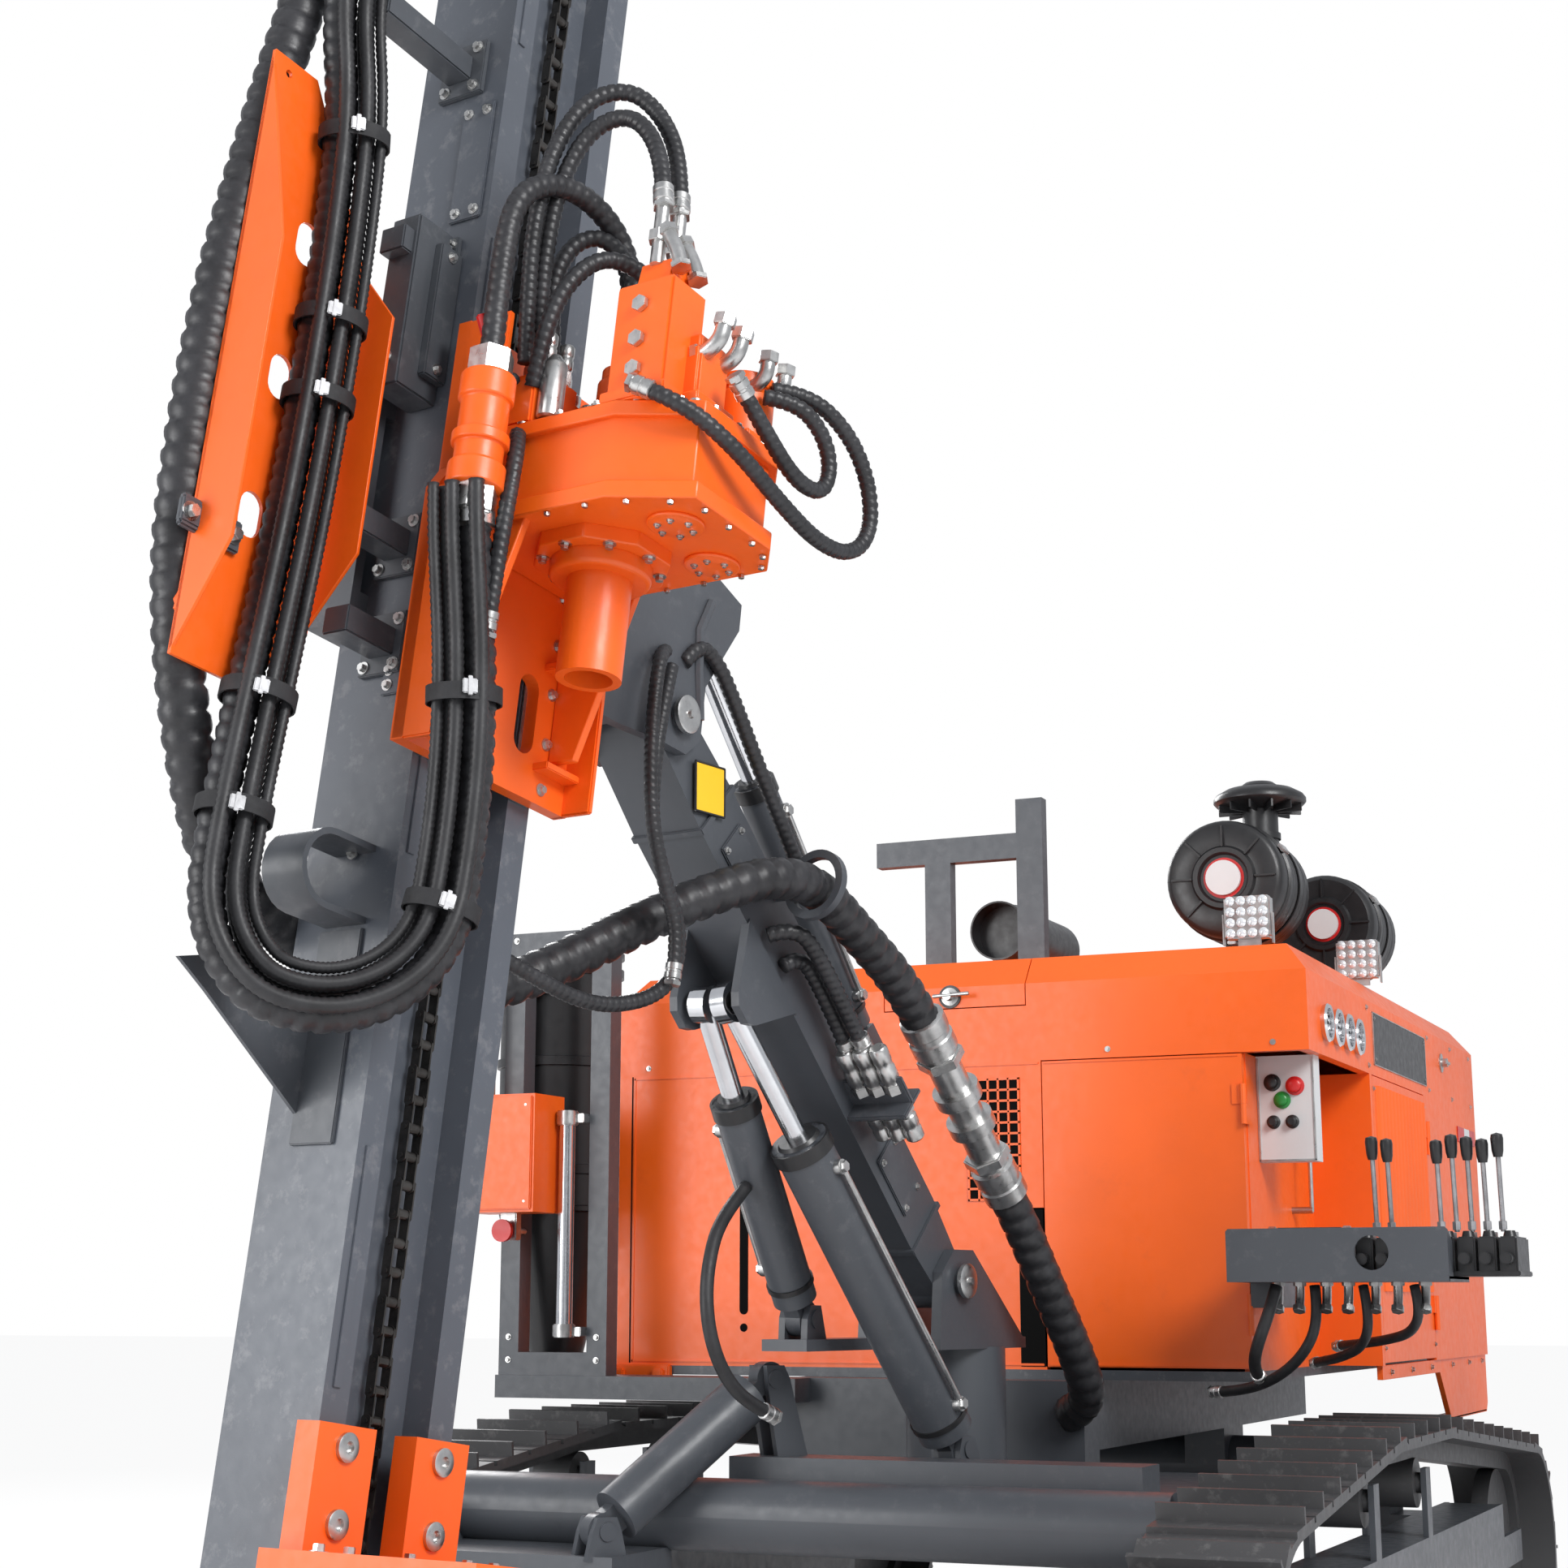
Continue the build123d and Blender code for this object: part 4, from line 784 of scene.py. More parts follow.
def plate(piece, at, outer, holes, y0, y1, plane="xz"):
    """A flat plate with holes: outlines in the plane's two axes, from y0 to y1 along the third."""
    data = bpy.data.curves.new("plate", "CURVE")
    data.dimensions = "2D"
    data.fill_mode = "BOTH"
    for ring in (outer, *holes):
        line = data.splines.new("POLY")
        line.points.add(len(ring) - 1)
        for point, place in zip(line.points, ring):
            point.co = (*place, 0, 1)
        line.use_cyclic_u = True
    data.extrude = abs(y1 - y0) / 2
    carrier = bpy.data.objects.new("plate", data)
    mesh = bpy.data.meshes.new_from_object(carrier)
    middle = (y0 + y1) / 2
    axes = {
        "xz": ((1, 0, 0), (0, 0, 1), (0, 1, 0)),
        "xy": ((1, 0, 0), (0, 1, 0), (0, 0, 1)),
        "yz": ((0, 1, 0), (0, 0, 1), (1, 0, 0)),
    }[plane]
    turn = Matrix([Vector(a) for a in axes]).transposed().to_4x4()
    mesh.transform(at @ Matrix.Translation(Vector(axes[2]) * middle) @ turn)
    piece.bm.from_mesh(mesh)
    bpy.data.objects.remove(carrier)
    bpy.data.meshes.remove(mesh)
    return piece


def ring_points(a, s, radius, count=24):
    return [
        (a + radius * math.cos(k * math.tau / count), s + radius * math.sin(k * math.tau / count))
        for k in range(count)
    ]


def oval_points(a, s, radius, half, count=10):
    # a slot with round ends, its long way along s
    out = []
    for centre, start in ((s + half, 0), (s - half, 180)):
        for k in range(count + 1):
            angle = math.radians(start + k * 180 / count)
            out.append((a + radius * math.cos(angle), centre + radius * math.sin(angle)))
    return out


# Rotary head: sled with its stepped edges, gear case, motors, valve block and sleeve
GEAR_V0, GEAR_V1, GEAR_LOW, GEAR_TOP = 0.151, 0.655, 1.215, 1.405
SPINDLE_V = 0.360
GEAR_PLAN = (
    (-0.190, GEAR_V0),
    (0.190, GEAR_V0),
    (0.190, 0.505),
    (0.122, GEAR_V1),
    (-0.110, GEAR_V1),
    (-0.190, 0.595),
)


def head_sled():
    """Sled plate with slots, folded webs, wear strips and bolts."""
    sled = Piece("sled", "orange", "head")
    wide, narrow, low, high = 0.232, 0.205, 0.800, 1.640
    face = [
        (-wide, low), (wide, low), (wide, 1.290), (narrow, 1.335), (narrow, high), (-narrow, high),
        (-narrow, 1.335), (-wide, 1.290),
    ]
    holes = [oval_points(a, s, 0.028, 0.050) for a in (-0.085, 0.085) for s in (0.960,)]
    plate(sled, MAST, face, holes, 0.121, 0.150)
    for sign in (-1, 1):
        # folded edge webs, wear strips and the stiffeners under the gear case
        for a, s0, s1, v1 in ((wide, low, 1.290, 0.215), (narrow, 1.335, high, 0.246)):
            a0, a1 = sorted((sign * a, sign * (a - 0.014)))
            sled.box(MAST, (a0, 0.122, s0), (a1, v1, s1), bevel=0.003)
        for s in (0.860, 1.060, 1.500):
            a0, a1 = sorted((sign * (wide - 0.014), sign * 0.120))
            if s > 1.3:
                a0, a1 = sorted((sign * (narrow - 0.014), sign * 0.120))
            sled.box(MAST, (a0, 0.148, s), (a1, 0.185, s + 0.014), bevel=0.002)
    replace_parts(sled.done(), "head_sled")
    strips = Piece("sled_strips", "steel", "head")
    for a in (-0.157, 0.105):
        strips.box(MAST, (a, 0.1155, low), (a + 0.052, 0.122, high), bevel=0.001)
    strips.done()
    bolts = Piece("sled_bolts", "zinc", "head")
    for sign in (-1, 1):
        for s in (0.83, 0.92, 1.02, 1.12, 1.22):
            bolts.bolt(MAST, (sign * 0.150, 0.150, s), (0, 1, 0), 0.013, 0.010)
        for s in (1.39, 1.48, 1.57):
            bolts.bolt(MAST, (sign * 0.205, 0.190, s), (sign, 0, 0), 0.013, 0.010)
    bolts.done()


def inset(outline, centre, share):
    return [
        (centre[0] + (a - centre[0]) * share, centre[1] + (v - centre[1]) * share) for a, v in outline
    ]


def gear_case():
    """The rotary gear case with its flanges, collar, gussets and screws."""
    case = Piece("gear_case", "orange", "head")
    middle = (0.0, 0.400)
    case.prism(MAST, GEAR_PLAN, GEAR_LOW, GEAR_LOW + 0.034, plane="xy")
    case.prism(MAST, inset(GEAR_PLAN, middle, 0.94), GEAR_LOW + 0.030, GEAR_TOP - 0.026, plane="xy")
    case.prism(MAST, GEAR_PLAN, GEAR_TOP - 0.030, GEAR_TOP, plane="xy")
    # octagonal collar under the case, then the round bearing flange
    collar = [
        (0.130 * math.cos(math.radians(22.5 + 45 * k)),
        SPINDLE_V + 0.130 * math.sin(math.radians(22.5 + 45 * k))) for k in range(8)
    ]
    case.prism(MAST, collar, GEAR_LOW - 0.028, GEAR_LOW + 0.002, plane="xy")
    case.turn(
        MAST, (0, SPINDLE_V, GEAR_LOW - 0.060), (0, 0, 1),
        [(0, 0.062), (0, 0.088), (0.006, 0.094), (0.034, 0.094), (0.034, 0.062)], sides=40,
    )
    for a, v in ((0.050, 0.560), (-0.120, 0.520)):
        case.turn(
            MAST, (a, v, GEAR_LOW - 0.009), (0, 0, 1),
            [(0, 0), (0, 0.040), (0.002, 0.044), (0.002, 0.052), (0.010, 0.052)], sides=32,
        )
    # gussets from the sled and lifting lugs on the top
    for a in (-0.178, 0.160):
        case.prism(
            MAST, [(GEAR_V0, 0.885), (0.211, 0.885), (0.321, 1.220), (GEAR_V0, 1.220)], a, a + 0.018,
            plane="yz",
        )
    for a in (-0.150, 0.120):
        lug = [
            (0.200, GEAR_TOP - 0.002), (0.262, GEAR_TOP - 0.002), (0.252, GEAR_TOP + 0.040),
            (0.210, GEAR_TOP + 0.040),
        ]
        case.prism(MAST, lug, a, a + 0.014, plane="yz")
    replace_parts(case.done(bevel=0.003), "head_gearbox")
    bolts = Piece("gear_bolts", "zinc", "head")
    for k in range(8):
        angle = math.radians(45 * k)
        bolts.bolt(
            MAST, (0.108 * math.cos(angle), SPINDLE_V + 0.108 * math.sin(angle), GEAR_LOW - 0.028),
            (0, 0, -1), 0.013, 0.010,
        )
    for a, v in ((0.050, 0.560), (-0.120, 0.520)):
        for k in range(6):
            angle = math.radians(60 * k + 20)
            bolts.bolt(
                MAST, (a + 0.033 * math.cos(angle), v + 0.033 * math.sin(angle), GEAR_LOW - 0.009),
                (0, 0, -1), 0.0075, 0.006,
            )
    # screws round the rim of both flanges
    for (a0, v0), (a1, v1) in zip(GEAR_PLAN, GEAR_PLAN[1:] + GEAR_PLAN[:1]):
        if v0 == v1 == GEAR_V0:
            continue
        count = max(2, int(math.hypot(a1 - a0, v1 - v0) / 0.075))
        for k in range(count):
            f = (k + 0.5) / count
            a, v = a0 + (a1 - a0) * f, v0 + (v1 - v0) * f
            a, v = a * 0.955, 0.400 + (v - 0.400) * 0.955
            bolts.bolt(MAST, (a, v, GEAR_TOP), (0, 0, 1), 0.011, 0.009)
            bolts.bolt(MAST, (a, v, GEAR_LOW), (0, 0, -1), 0.010, 0.007, washer=False)
    bolts.done()


def elbow(piece, at, p, direction, up, radius, reach, rise):
    """A bent steel fitting: out along direction, then round to up, with a nut at its foot."""
    p, direction, up = Vector(p), Vector(direction).normalized(), Vector(up).normalized()
    piece.cyl(at, p, p + direction * reach * 0.30, radius * 1.45, sides=6, bevel=radius * 0.1)
    path = []
    for k in range(7):
        angle = math.radians(15 * k)
        ahead = reach * 0.30 + reach * 0.70 * math.sin(angle)
        raised = rise * 0.6 * (1 - math.cos(angle))
        path.append(at @ (p + direction * ahead + up * raised))
    path.append(at @ (p + direction * reach + up * rise))
    sweep(piece.bm, path, lambda i, k: radius, 12)
    end = p + direction * reach + up * rise
    piece.cyl(
        at, end - up * radius * 0.2, end + up * radius * 1.2, radius * 1.4, sides=6, bevel=radius * 0.1,
    )
    return end + up * radius * 1.2


def head_top():
    """Motors, valve block, swivel, elbows and the ball valve on the gear case."""
    motors = Piece("motors", "orange", "head")
    for a in (-0.090, 0.070):
        motors.box(MAST, (a - 0.058, 0.522, GEAR_TOP), (a + 0.058, 0.638, GEAR_TOP + 0.024), bevel=0.003)
    motors.turn(
        MAST, (-0.090, 0.580, GEAR_TOP + 0.020), (0, 0, 1), [(0, 0.050), (0.006, 0.055), (0.094, 0.055),
        (0.100, 0.048), (0.106, 0.048), (0.110, 0.054), (0.132, 0.054), (0.134, 0.0)], sides=32,
    )
    motors.box(MAST, (0.024, 0.534, GEAR_TOP + 0.020), (0.116, 0.626, GEAR_TOP + 0.124), bevel=0.006)
    motors.box(MAST, (0.030, 0.540, GEAR_TOP + 0.118), (0.110, 0.620, GEAR_TOP + 0.148), bevel=0.004)
    # swivel tower over the spindle
    motors.turn(
        MAST, (0, SPINDLE_V, GEAR_TOP - 0.002), (0, 0, 1), [(0, 0.080), (0.020, 0.080), (0.022, 0.064),
        (0.062, 0.062), (0.066, 0.046), (0.150, 0.046), (0.156, 0.040), (0.178, 0.040), (0.180, 0.0)],
        sides=32,
    )
    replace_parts(motors.done(bevel=0.002), "head_motors")
    block = Piece("valve_block", "orange", "head")
    block.box(MAST, (0.040, 0.211, GEAR_TOP), (0.188, 0.309, GEAR_TOP + 0.092), bevel=0.004)
    block.box(MAST, (0.052, 0.221, GEAR_TOP + 0.090), (0.150, 0.299, GEAR_TOP + 0.128), bevel=0.004)
    block.box(MAST, (-0.120, 0.205, GEAR_TOP), (0.030, 0.300, GEAR_TOP + 0.070), bevel=0.004)
    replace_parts(block.done(), "head_valve_block")
    fittings = Piece("head_fittings", "zinc", "head")
    for a in (-0.118, -0.062):
        elbow(
            fittings, MAST, (a, 0.600, GEAR_TOP + 0.120), (0, 1, 0.15), (0.1, 0.1, 1), 0.014, 0.045,
            0.040,
        )
    for a in (0.042, 0.098):
        elbow(fittings, MAST, (a, 0.600, GEAR_TOP + 0.110), (0, 1, 0.1), (0, 0.2, 1), 0.015, 0.050, 0.045)
    for a, v in ((0.075, 0.245), (0.125, 0.245), (0.075, 0.280), (0.125, 0.280)):
        fittings.cyl(
            MAST, (a, v, GEAR_TOP + 0.125), (a, v, GEAR_TOP + 0.150), 0.017, sides=6, bevel=0.001,
        )
        ferrule(fittings, MAST, (a, v, GEAR_TOP + 0.215), (a, v, GEAR_TOP + 0.145), 0.013)
    for a in (-0.090, -0.040, 0.008):
        fittings.cyl(
            MAST, (a, 0.250, GEAR_TOP + 0.068), (a, 0.250, GEAR_TOP + 0.088), 0.018, sides=6,
            bevel=0.001,
        )
        ferrule(fittings, MAST, (a, 0.250, GEAR_TOP + 0.150), (a, 0.250, GEAR_TOP + 0.084), 0.014)
    # silver canister and the ball valve's body
    fittings.turn(
        MAST, (0.160, 0.330, GEAR_TOP + 0.010), (0, 0, 1),
        [(0, 0.020), (0.004, 0.024), (0.110, 0.024), (0.118, 0.018), (0.130, 0.010), (0.132, 0)],
        sides=24,
    )
    fittings.turn(
        MAST, (0.205, 0.262, GEAR_TOP + 0.050), (1, 0, 0),
        [(0, 0.016), (0.012, 0.020), (0.030, 0.020), (0.040, 0.014), (0.050, 0.014)], sides=20,
    )
    for k in range(4):
        angle = math.radians(45 + 90 * k)
        fittings.bolt(
            MAST, (-0.090 + 0.070 * math.cos(angle), 0.580 + 0.070 * math.sin(angle), GEAR_TOP + 0.002),
            (0, 0, 1), 0.012, 0.012,
        )
        fittings.bolt(
            MAST, (0.070 + 0.070 * math.cos(angle), 0.580 + 0.070 * math.sin(angle), GEAR_TOP + 0.002),
            (0, 0, 1), 0.012, 0.012,
        )
    fittings.done()
    lever = Piece("ball_valve_lever", "steel", "head")
    lever.box(MAST, (0.222, 0.255, GEAR_TOP + 0.066), (0.232, 0.270, GEAR_TOP + 0.074), bevel=0.001)
    lever.prism(
        MAST, [(0.222, GEAR_TOP + 0.070), (0.230, GEAR_TOP + 0.064), (0.262, GEAR_TOP + 0.110),
        (0.256, GEAR_TOP + 0.114)], 0.256, 0.270,
    )
    lever.done()
    grip = Piece("ball_valve_grip", "red", "head")
    grip.cyl(
        MAST, (0.250, 0.263, GEAR_TOP + 0.100), (0.300, 0.263, GEAR_TOP + 0.172), 0.011, sides=12,
        bevel=0.003,
    )
    grip.done()


def air_sleeve():
    """The swivel sleeve where the feed loop ends."""
    sleeve = Piece("air_sleeve", "orange", "head")
    spot = (0.286, 0.290, 1.225)
    profile = [
        (0, 0.046), (0.004, 0.052), (0.046, 0.052), (0.050, 0.044), (0.084, 0.044), (0.086, 0.052),
        (0.106, 0.052),
    ]
    profile += [(0.108, 0.044), (0.170, 0.044), (0.174, 0.050), (0.220, 0.050), (0.225, 0.046)]
    sleeve.turn(MAST, spot, (0, 0, 1), profile, sides=32)
    sleeve.prism(
        MAST, [(0.200, 0.185), (0.205, 0.245), (0.262, 0.290), (0.306, 0.290)], 1.350, 1.386, plane="xy",
    )
    sleeve.done(bevel=0.002)


head_sled()
gear_case()
head_top()
air_sleeve()


def hose_trough():
    """The folded trough: back plate with oval holes, and side plates that taper at both ends."""
    trough = Piece("trough", "orange", "mast")
    a0, a1, back, deep, low, high = 0.300, 0.600, -0.060, 0.108, 0.850, 2.050
    outer = [
        (a0, low + 0.150), (a0 + 0.130, low), (a1, low), (a1, high), (a1 - 0.110, high),
        (a0, high - 0.300),
    ]
    holes = [oval_points(a, s, 0.027, 0.016) for a, s in ((0.450, 1.720), (0.462, 1.440), (0.478, 1.160))]
    holes.append(ring_points(0.560, 2.020, 0.008, 16))
    plate(trough, MAST, outer, holes, back, back + 0.008)
    for a, s0, s1, low_taper, high_taper in (
        (a0, low + 0.150, high - 0.300, 0.140, 0.130), (a1 - 0.007, low, high, 0.200, 0.420),
    ):
        side = [(back, s0), (back + deep, s0 + low_taper), (back + deep, s1 - high_taper), (back, s1)]
        trough.prism(MAST, side, a, a + 0.007, plane="yz")
    for a, s in ((0.560, 1.860), (0.574, 0.960)):
        trough.box(MAST, (a - 0.014, back - 0.026, s - 0.022), (a + 0.014, back, s + 0.022), bevel=0.002)
    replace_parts(trough.done(bevel=0.001), "hose_trough")


def mast_guards():
    """Brackets, clamp bar, guide box and the guards beside the mast."""
    grey = Piece("mast_guards", "grey", "mast")
    for s, v in ((1.020, 0.014), (1.215, 0.016), (1.800, 0.010)):
        grey.box(MAST, (MAST_FACE, v - 0.050, s - 0.060), (0.178, v + 0.050, s + 0.060), bevel=0.002)
        grey.box(MAST, (0.176, v - 0.030, s - 0.026), (0.302, v + 0.030, s + 0.026), bevel=0.003)
    grey.box(MAST, (MAST_FACE, -0.050, 2.190), (0.178, 0.060, 2.310), bevel=0.002)
    grey.box(MAST, (0.176, -0.030, 2.224), (0.420, 0.030, 2.276), bevel=0.003)
    # clamp bar of the big air hose
    grey.box(MAST, (0.596, -0.052, 1.078), (0.640, -0.036, 1.122), bevel=0.002)
    grey.box(MAST, (0.500, -0.052, 1.070), (0.640, -0.038, 1.130), bevel=0.004)
    # guide box
    grey.box(MAST, (MAST_FACE, -0.020, 1.500), (0.276, 0.050, 1.860), bevel=0.004)
    grey.box(MAST, (MAST_FACE, 0.048, 1.540), (0.225, 0.068, 1.820), bevel=0.003)
    # rounded guard with its pointed flange
    arch = []
    for k in range(13):
        angle = math.radians(-90 + 15 * k)
        arch.append((0.265 + 0.072 * math.cos(angle), 0.560 + 0.072 * math.sin(angle)))
    inner = [(0.265 + (a - 0.265) * 0.84, 0.560 + (s - 0.560) * 0.84) for a, s in reversed(arch)]
    grey.prism(
        MAST,
        [(MAST_FACE, 0.488), *arch, (MAST_FACE, 0.632), (MAST_FACE, 0.620), *inner, (MAST_FACE, 0.500)],
        -0.036, 0.060,
    )
    grey.prism(
        MAST, [(MAST_FACE, 0.150), (0.420, 0.310), (0.490, 0.350), (0.360, 0.390), (MAST_FACE, 0.390)],
        -0.040, -0.032,
    )
    grey.box(MAST, (MAST_FACE - 0.001, -0.040, 0.100), (0.173, 0.060, 0.480), bevel=0.002)
    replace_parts(grey.done(), "trough_brackets")


HEAD_HOSES = (
    # routes in the mast's frame
    (
        (0.165, 0.262, 1.545), (0.185, 0.265, 1.660), (0.212, 0.280, 1.800), (0.216, 0.300, 1.950),
        (0.190, 0.345, 2.070), (0.138, 0.410, 2.110), (0.100, 0.470, 2.050), (0.092, 0.515, 1.940),
        (0.098, 0.530, 1.830),
    ),
    (
        (0.130, 0.262, 1.545), (0.155, 0.270, 1.660), (0.176, 0.285, 1.790), (0.184, 0.308, 1.915),
        (0.176, 0.355, 2.010), (0.155, 0.420, 2.040), (0.145, 0.478, 1.990), (0.146, 0.518, 1.900),
        (0.150, 0.532, 1.820),
    ),
    (
        (0.080, 0.262, 1.545), (0.105, 0.262, 1.640), (0.130, 0.270, 1.730), (0.120, 0.295, 1.810),
        (0.085, 0.335, 1.840), (0.050, 0.375, 1.800), (0.040, 0.400, 1.720), (0.040, 0.410, 1.640),
    ),
    (
        (0.180, 0.300, 1.480), (0.205, 0.330, 1.560), (0.200, 0.360, 1.660), (0.160, 0.400, 1.735),
        (0.100, 0.440, 1.740), (0.040, 0.480, 1.690), (0.020, 0.500, 1.600),
    ),
    (
        (-0.090, 0.640, 1.530), (-0.140, 0.690, 1.535), (-0.240, 0.715, 1.500), (-0.315, 0.720, 1.430),
        (-0.345, 0.715, 1.340), (-0.300, 0.705, 1.275), (-0.200, 0.700, 1.255), (-0.080, 0.695, 1.280),
        (0.060, 0.685, 1.330), (0.170, 0.640, 1.380), (0.205, 0.560, 1.415),
    ),
    (
        (-0.060, 0.645, 1.500), (-0.100, 0.690, 1.500), (-0.170, 0.705, 1.470), (-0.210, 0.705, 1.410),
        (-0.190, 0.700, 1.350), (-0.110, 0.695, 1.345), (-0.010, 0.690, 1.400), (0.070, 0.680, 1.460),
    ),
    (
        (0.188, 0.262, 1.500), (0.250, 0.240, 1.450), (0.262, 0.230, 1.340), (0.256, 0.232, 1.200),
        (0.244, 0.238, 1.060), (0.236, 0.246, 0.960),
    ),
    (
        (0.192, 0.290, 1.380), (0.232, 0.330, 1.330), (0.244, 0.335, 1.220), (0.240, 0.325, 1.100),
        (0.228, 0.310, 0.980),
    ),
)


def head_hoses():
    """Hoses round the head, and the tower they end on."""
    for k, route in enumerate(HEAD_HOSES):
        cord("head_hose_%d" % (k + 1), MAST, route, 0.031 if k > 3 else 0.033, "head")
    tower = Piece("head_tower", "orange", "head")
    tower.box(MAST, (0.074, 0.470, GEAR_TOP), (0.176, 0.596, GEAR_TOP + 0.240), bevel=0.005)
    tower.box(MAST, (0.066, 0.462, GEAR_TOP), (0.184, 0.604, GEAR_TOP + 0.024), bevel=0.003)
    tower.prism(
        MAST, [(0.090, GEAR_TOP + 0.236), (0.160, GEAR_TOP + 0.236), (0.150, GEAR_TOP + 0.290),
        (0.100, GEAR_TOP + 0.290)], 0.500, 0.570,
    )
    tower.done()
    caps = Piece("tower_fittings", "zinc", "head")
    for a in (0.098, 0.150):
        elbow(caps, MAST, (a, 0.590, GEAR_TOP + 0.262), (0, -0.3, 1), (0, -0.6, 1), 0.014, 0.040, 0.050)
        caps.cyl(MAST, (a, 0.532, GEAR_TOP + 0.285), (a, 0.532, GEAR_TOP + 0.420), 0.013, sides=16)
        caps.cyl(
            MAST, (a, 0.532, GEAR_TOP + 0.330), (a, 0.532, GEAR_TOP + 0.352), 0.021, sides=6,
            bevel=0.001,
        )
    for s in (0.060, 0.120, 0.190):
        caps.cyl(
            MAST, (0.176, 0.530, GEAR_TOP + s), (0.188, 0.530, GEAR_TOP + s), 0.016, sides=6,
            bevel=0.001,
        )
    caps.done()


# Boom: plates, manifold, hoses and the ring
BOOM_LONG = 1.605


def boom_trim():
    """Plates, hose ring, sign plate, pins and manifold of the boom."""
    side = 0.085
    grey = Piece("boom_plates", "grey", "boom")
    # cover plates on both sides, stiffeners and the hose bracket
    for sign in (-1, 1):
        y0, y1 = sorted((sign * side, sign * (side + 0.006)))
        grey.box(BEAM, (1.180, y0, -0.048), (1.300, y1, 0.048), bevel=0.003)
        grey.box(BEAM, (0.250, y0, -0.050), (0.420, y1, 0.050), bevel=0.003)
    for along in (0.160, 1.360):
        grey.box(BEAM, (along, -0.092, -0.084), (along + 0.016, 0.092, 0.084), bevel=0.002)
    grey.box(BEAM, (0.560, side - 0.004, -0.030), (0.640, side + 0.150, -0.018), bevel=0.003)
    grey.box(BEAM, (0.560, side - 0.004, -0.075), (0.572, side + 0.150, 0.020), bevel=0.003)
    # bent bracket at the boom's head
    path = [
        BEAM @ Vector(p) for p in ((1.560, 0.110, 0.050), (1.640, 0.112, 0.120), (1.700, 0.114, 0.180),
        (1.720, 0.114, 0.260))
    ]
    sweep(grey.bm, path, lambda i, k: 0.012, 8)
    # ring that carries the big hose
    grey.turn(
        BOOM, (0.925, 0.200, 1.925), (0.96, -0.10, 0.20),
        [(-0.009, 0.060), (-0.009, 0.078), (0.009, 0.078), (0.009, 0.060)], sides=36, close=True,
    )
    grey.box(BEAM, (1.090, 0.080, 0.040), (1.130, 0.190, 0.062), bevel=0.003)
    grey.done()
    yellow = Piece("boom_sign", "yellow", "boom")
    sign_plate = [(1.420, -0.074), (1.494, 0.0), (1.420, 0.074), (1.346, 0.0)]
    yellow.prism(BEAM, sign_plate, side + 0.0075, side + 0.0100)
    yellow.done()
    edge = Piece("boom_sign_edge", "black", "boom")
    for (l0, w0), (l1, w1) in zip(sign_plate, sign_plate[1:] + sign_plate[:1]):
        edge.cyl(BEAM, (l0, side + 0.0095, w0), (l1, side + 0.0095, w1), 0.0028, sides=6)
    edge.done()
    bolts = Piece("boom_bolts", "zinc", "boom")
    for along0, along1 in ((1.194, 1.286), (0.266, 0.404)):
        for along in (along0, along1):
            for w in (-0.036, 0.036):
                bolts.bolt(BEAM, (along, side + 0.006, w), (0, 1, 0), 0.009, 0.007)
                bolts.bolt(BEAM, (along, -side - 0.006, w), (0, -1, 0), 0.009, 0.007)
    for along in (0.0, BOOM_LONG):
        for sign in (-1, 1):
            bolts.turn(
                BEAM, (along, sign * 0.124, 0), (0, sign, 0), [(0, 0.040), (0.010, 0.040),
                (0.013, 0.034), (0.013, 0.010), (0.020, 0.008), (0.020, 0)], sides=28,
            )
    # manifold fittings above and below the bracket plate
    for k, v in enumerate((0.120, 0.162, 0.204)):
        ferrule(bolts, BEAM, (0.720, v, -0.024 + 0.004 * k), (0.600, v, -0.024), 0.019)
        ferrule(bolts, BEAM, (0.470, v, -0.024 - 0.004 * k), (0.560, v, -0.024), 0.019)
    bolts.done()


BOOM_HOSES = (
    # name, body, diameter, route in the boom's frame
    ("boom_pair_1", "boom", 0.032, (
        (1.335, 0.112, 2.330), (1.380, 0.128, 2.250), (1.420, 0.135, 2.120), (1.430, 0.135, 1.990),
        (1.380, 0.132, 1.880), (1.320, 0.130, 1.790), (1.330, 0.128, 1.690), (1.420, 0.120, 1.630),
        (1.560, 0.090, 1.610), (1.720, 0.060, 1.660), (1.860, 0.020, 1.720),
    )),
    ("boom_pair_2", "boom", 0.030, (
        (1.355, 0.112, 2.360), (1.400, 0.136, 2.350), (1.440, 0.150, 2.260), (1.460, 0.155, 2.120),
        (1.455, 0.155, 1.980), (1.400, 0.150, 1.860), (1.350, 0.148, 1.770), (1.365, 0.144, 1.680),
    )),
    ("boom_pair_3", "boom", 0.034, (
        (1.290, 0.112, 2.350), (1.250, 0.120, 2.400), (1.190, 0.128, 2.370), (1.120, 0.130, 2.280),
        (1.040, 0.130, 2.170), (0.960, 0.132, 2.070), (0.880, 0.134, 1.960),
    )),
    ("boom_long_1", "boom", 0.036, (
        (0.900, 0.100, 1.760), (0.860, 0.118, 1.790), (0.790, 0.120, 1.730), (0.720, 0.122, 1.650),
        (0.668, 0.122, 1.590),
    )),
    ("boom_long_2", "boom", 0.036, (
        (0.960, 0.100, 1.820), (0.930, 0.156, 1.840), (0.850, 0.162, 1.780), (0.760, 0.163, 1.690),
        (0.668, 0.163, 1.598),
    )),
)


def boom_hoses():
    for name, body, diameter, route in BOOM_HOSES:
        cord(name, BOOM, route, diameter, body)


hose_trough()
mast_guards()
head_hoses()
boom_trim()
boom_hoses()

# Canopy in the machine frame: its front, near side, recess, gauge row and roof
FRONT_X, SIDE_Y, RECESS_Y = -0.424, 0.970, 0.801
GAUGE_Z, ROOF_Z = 1.752, 1.945


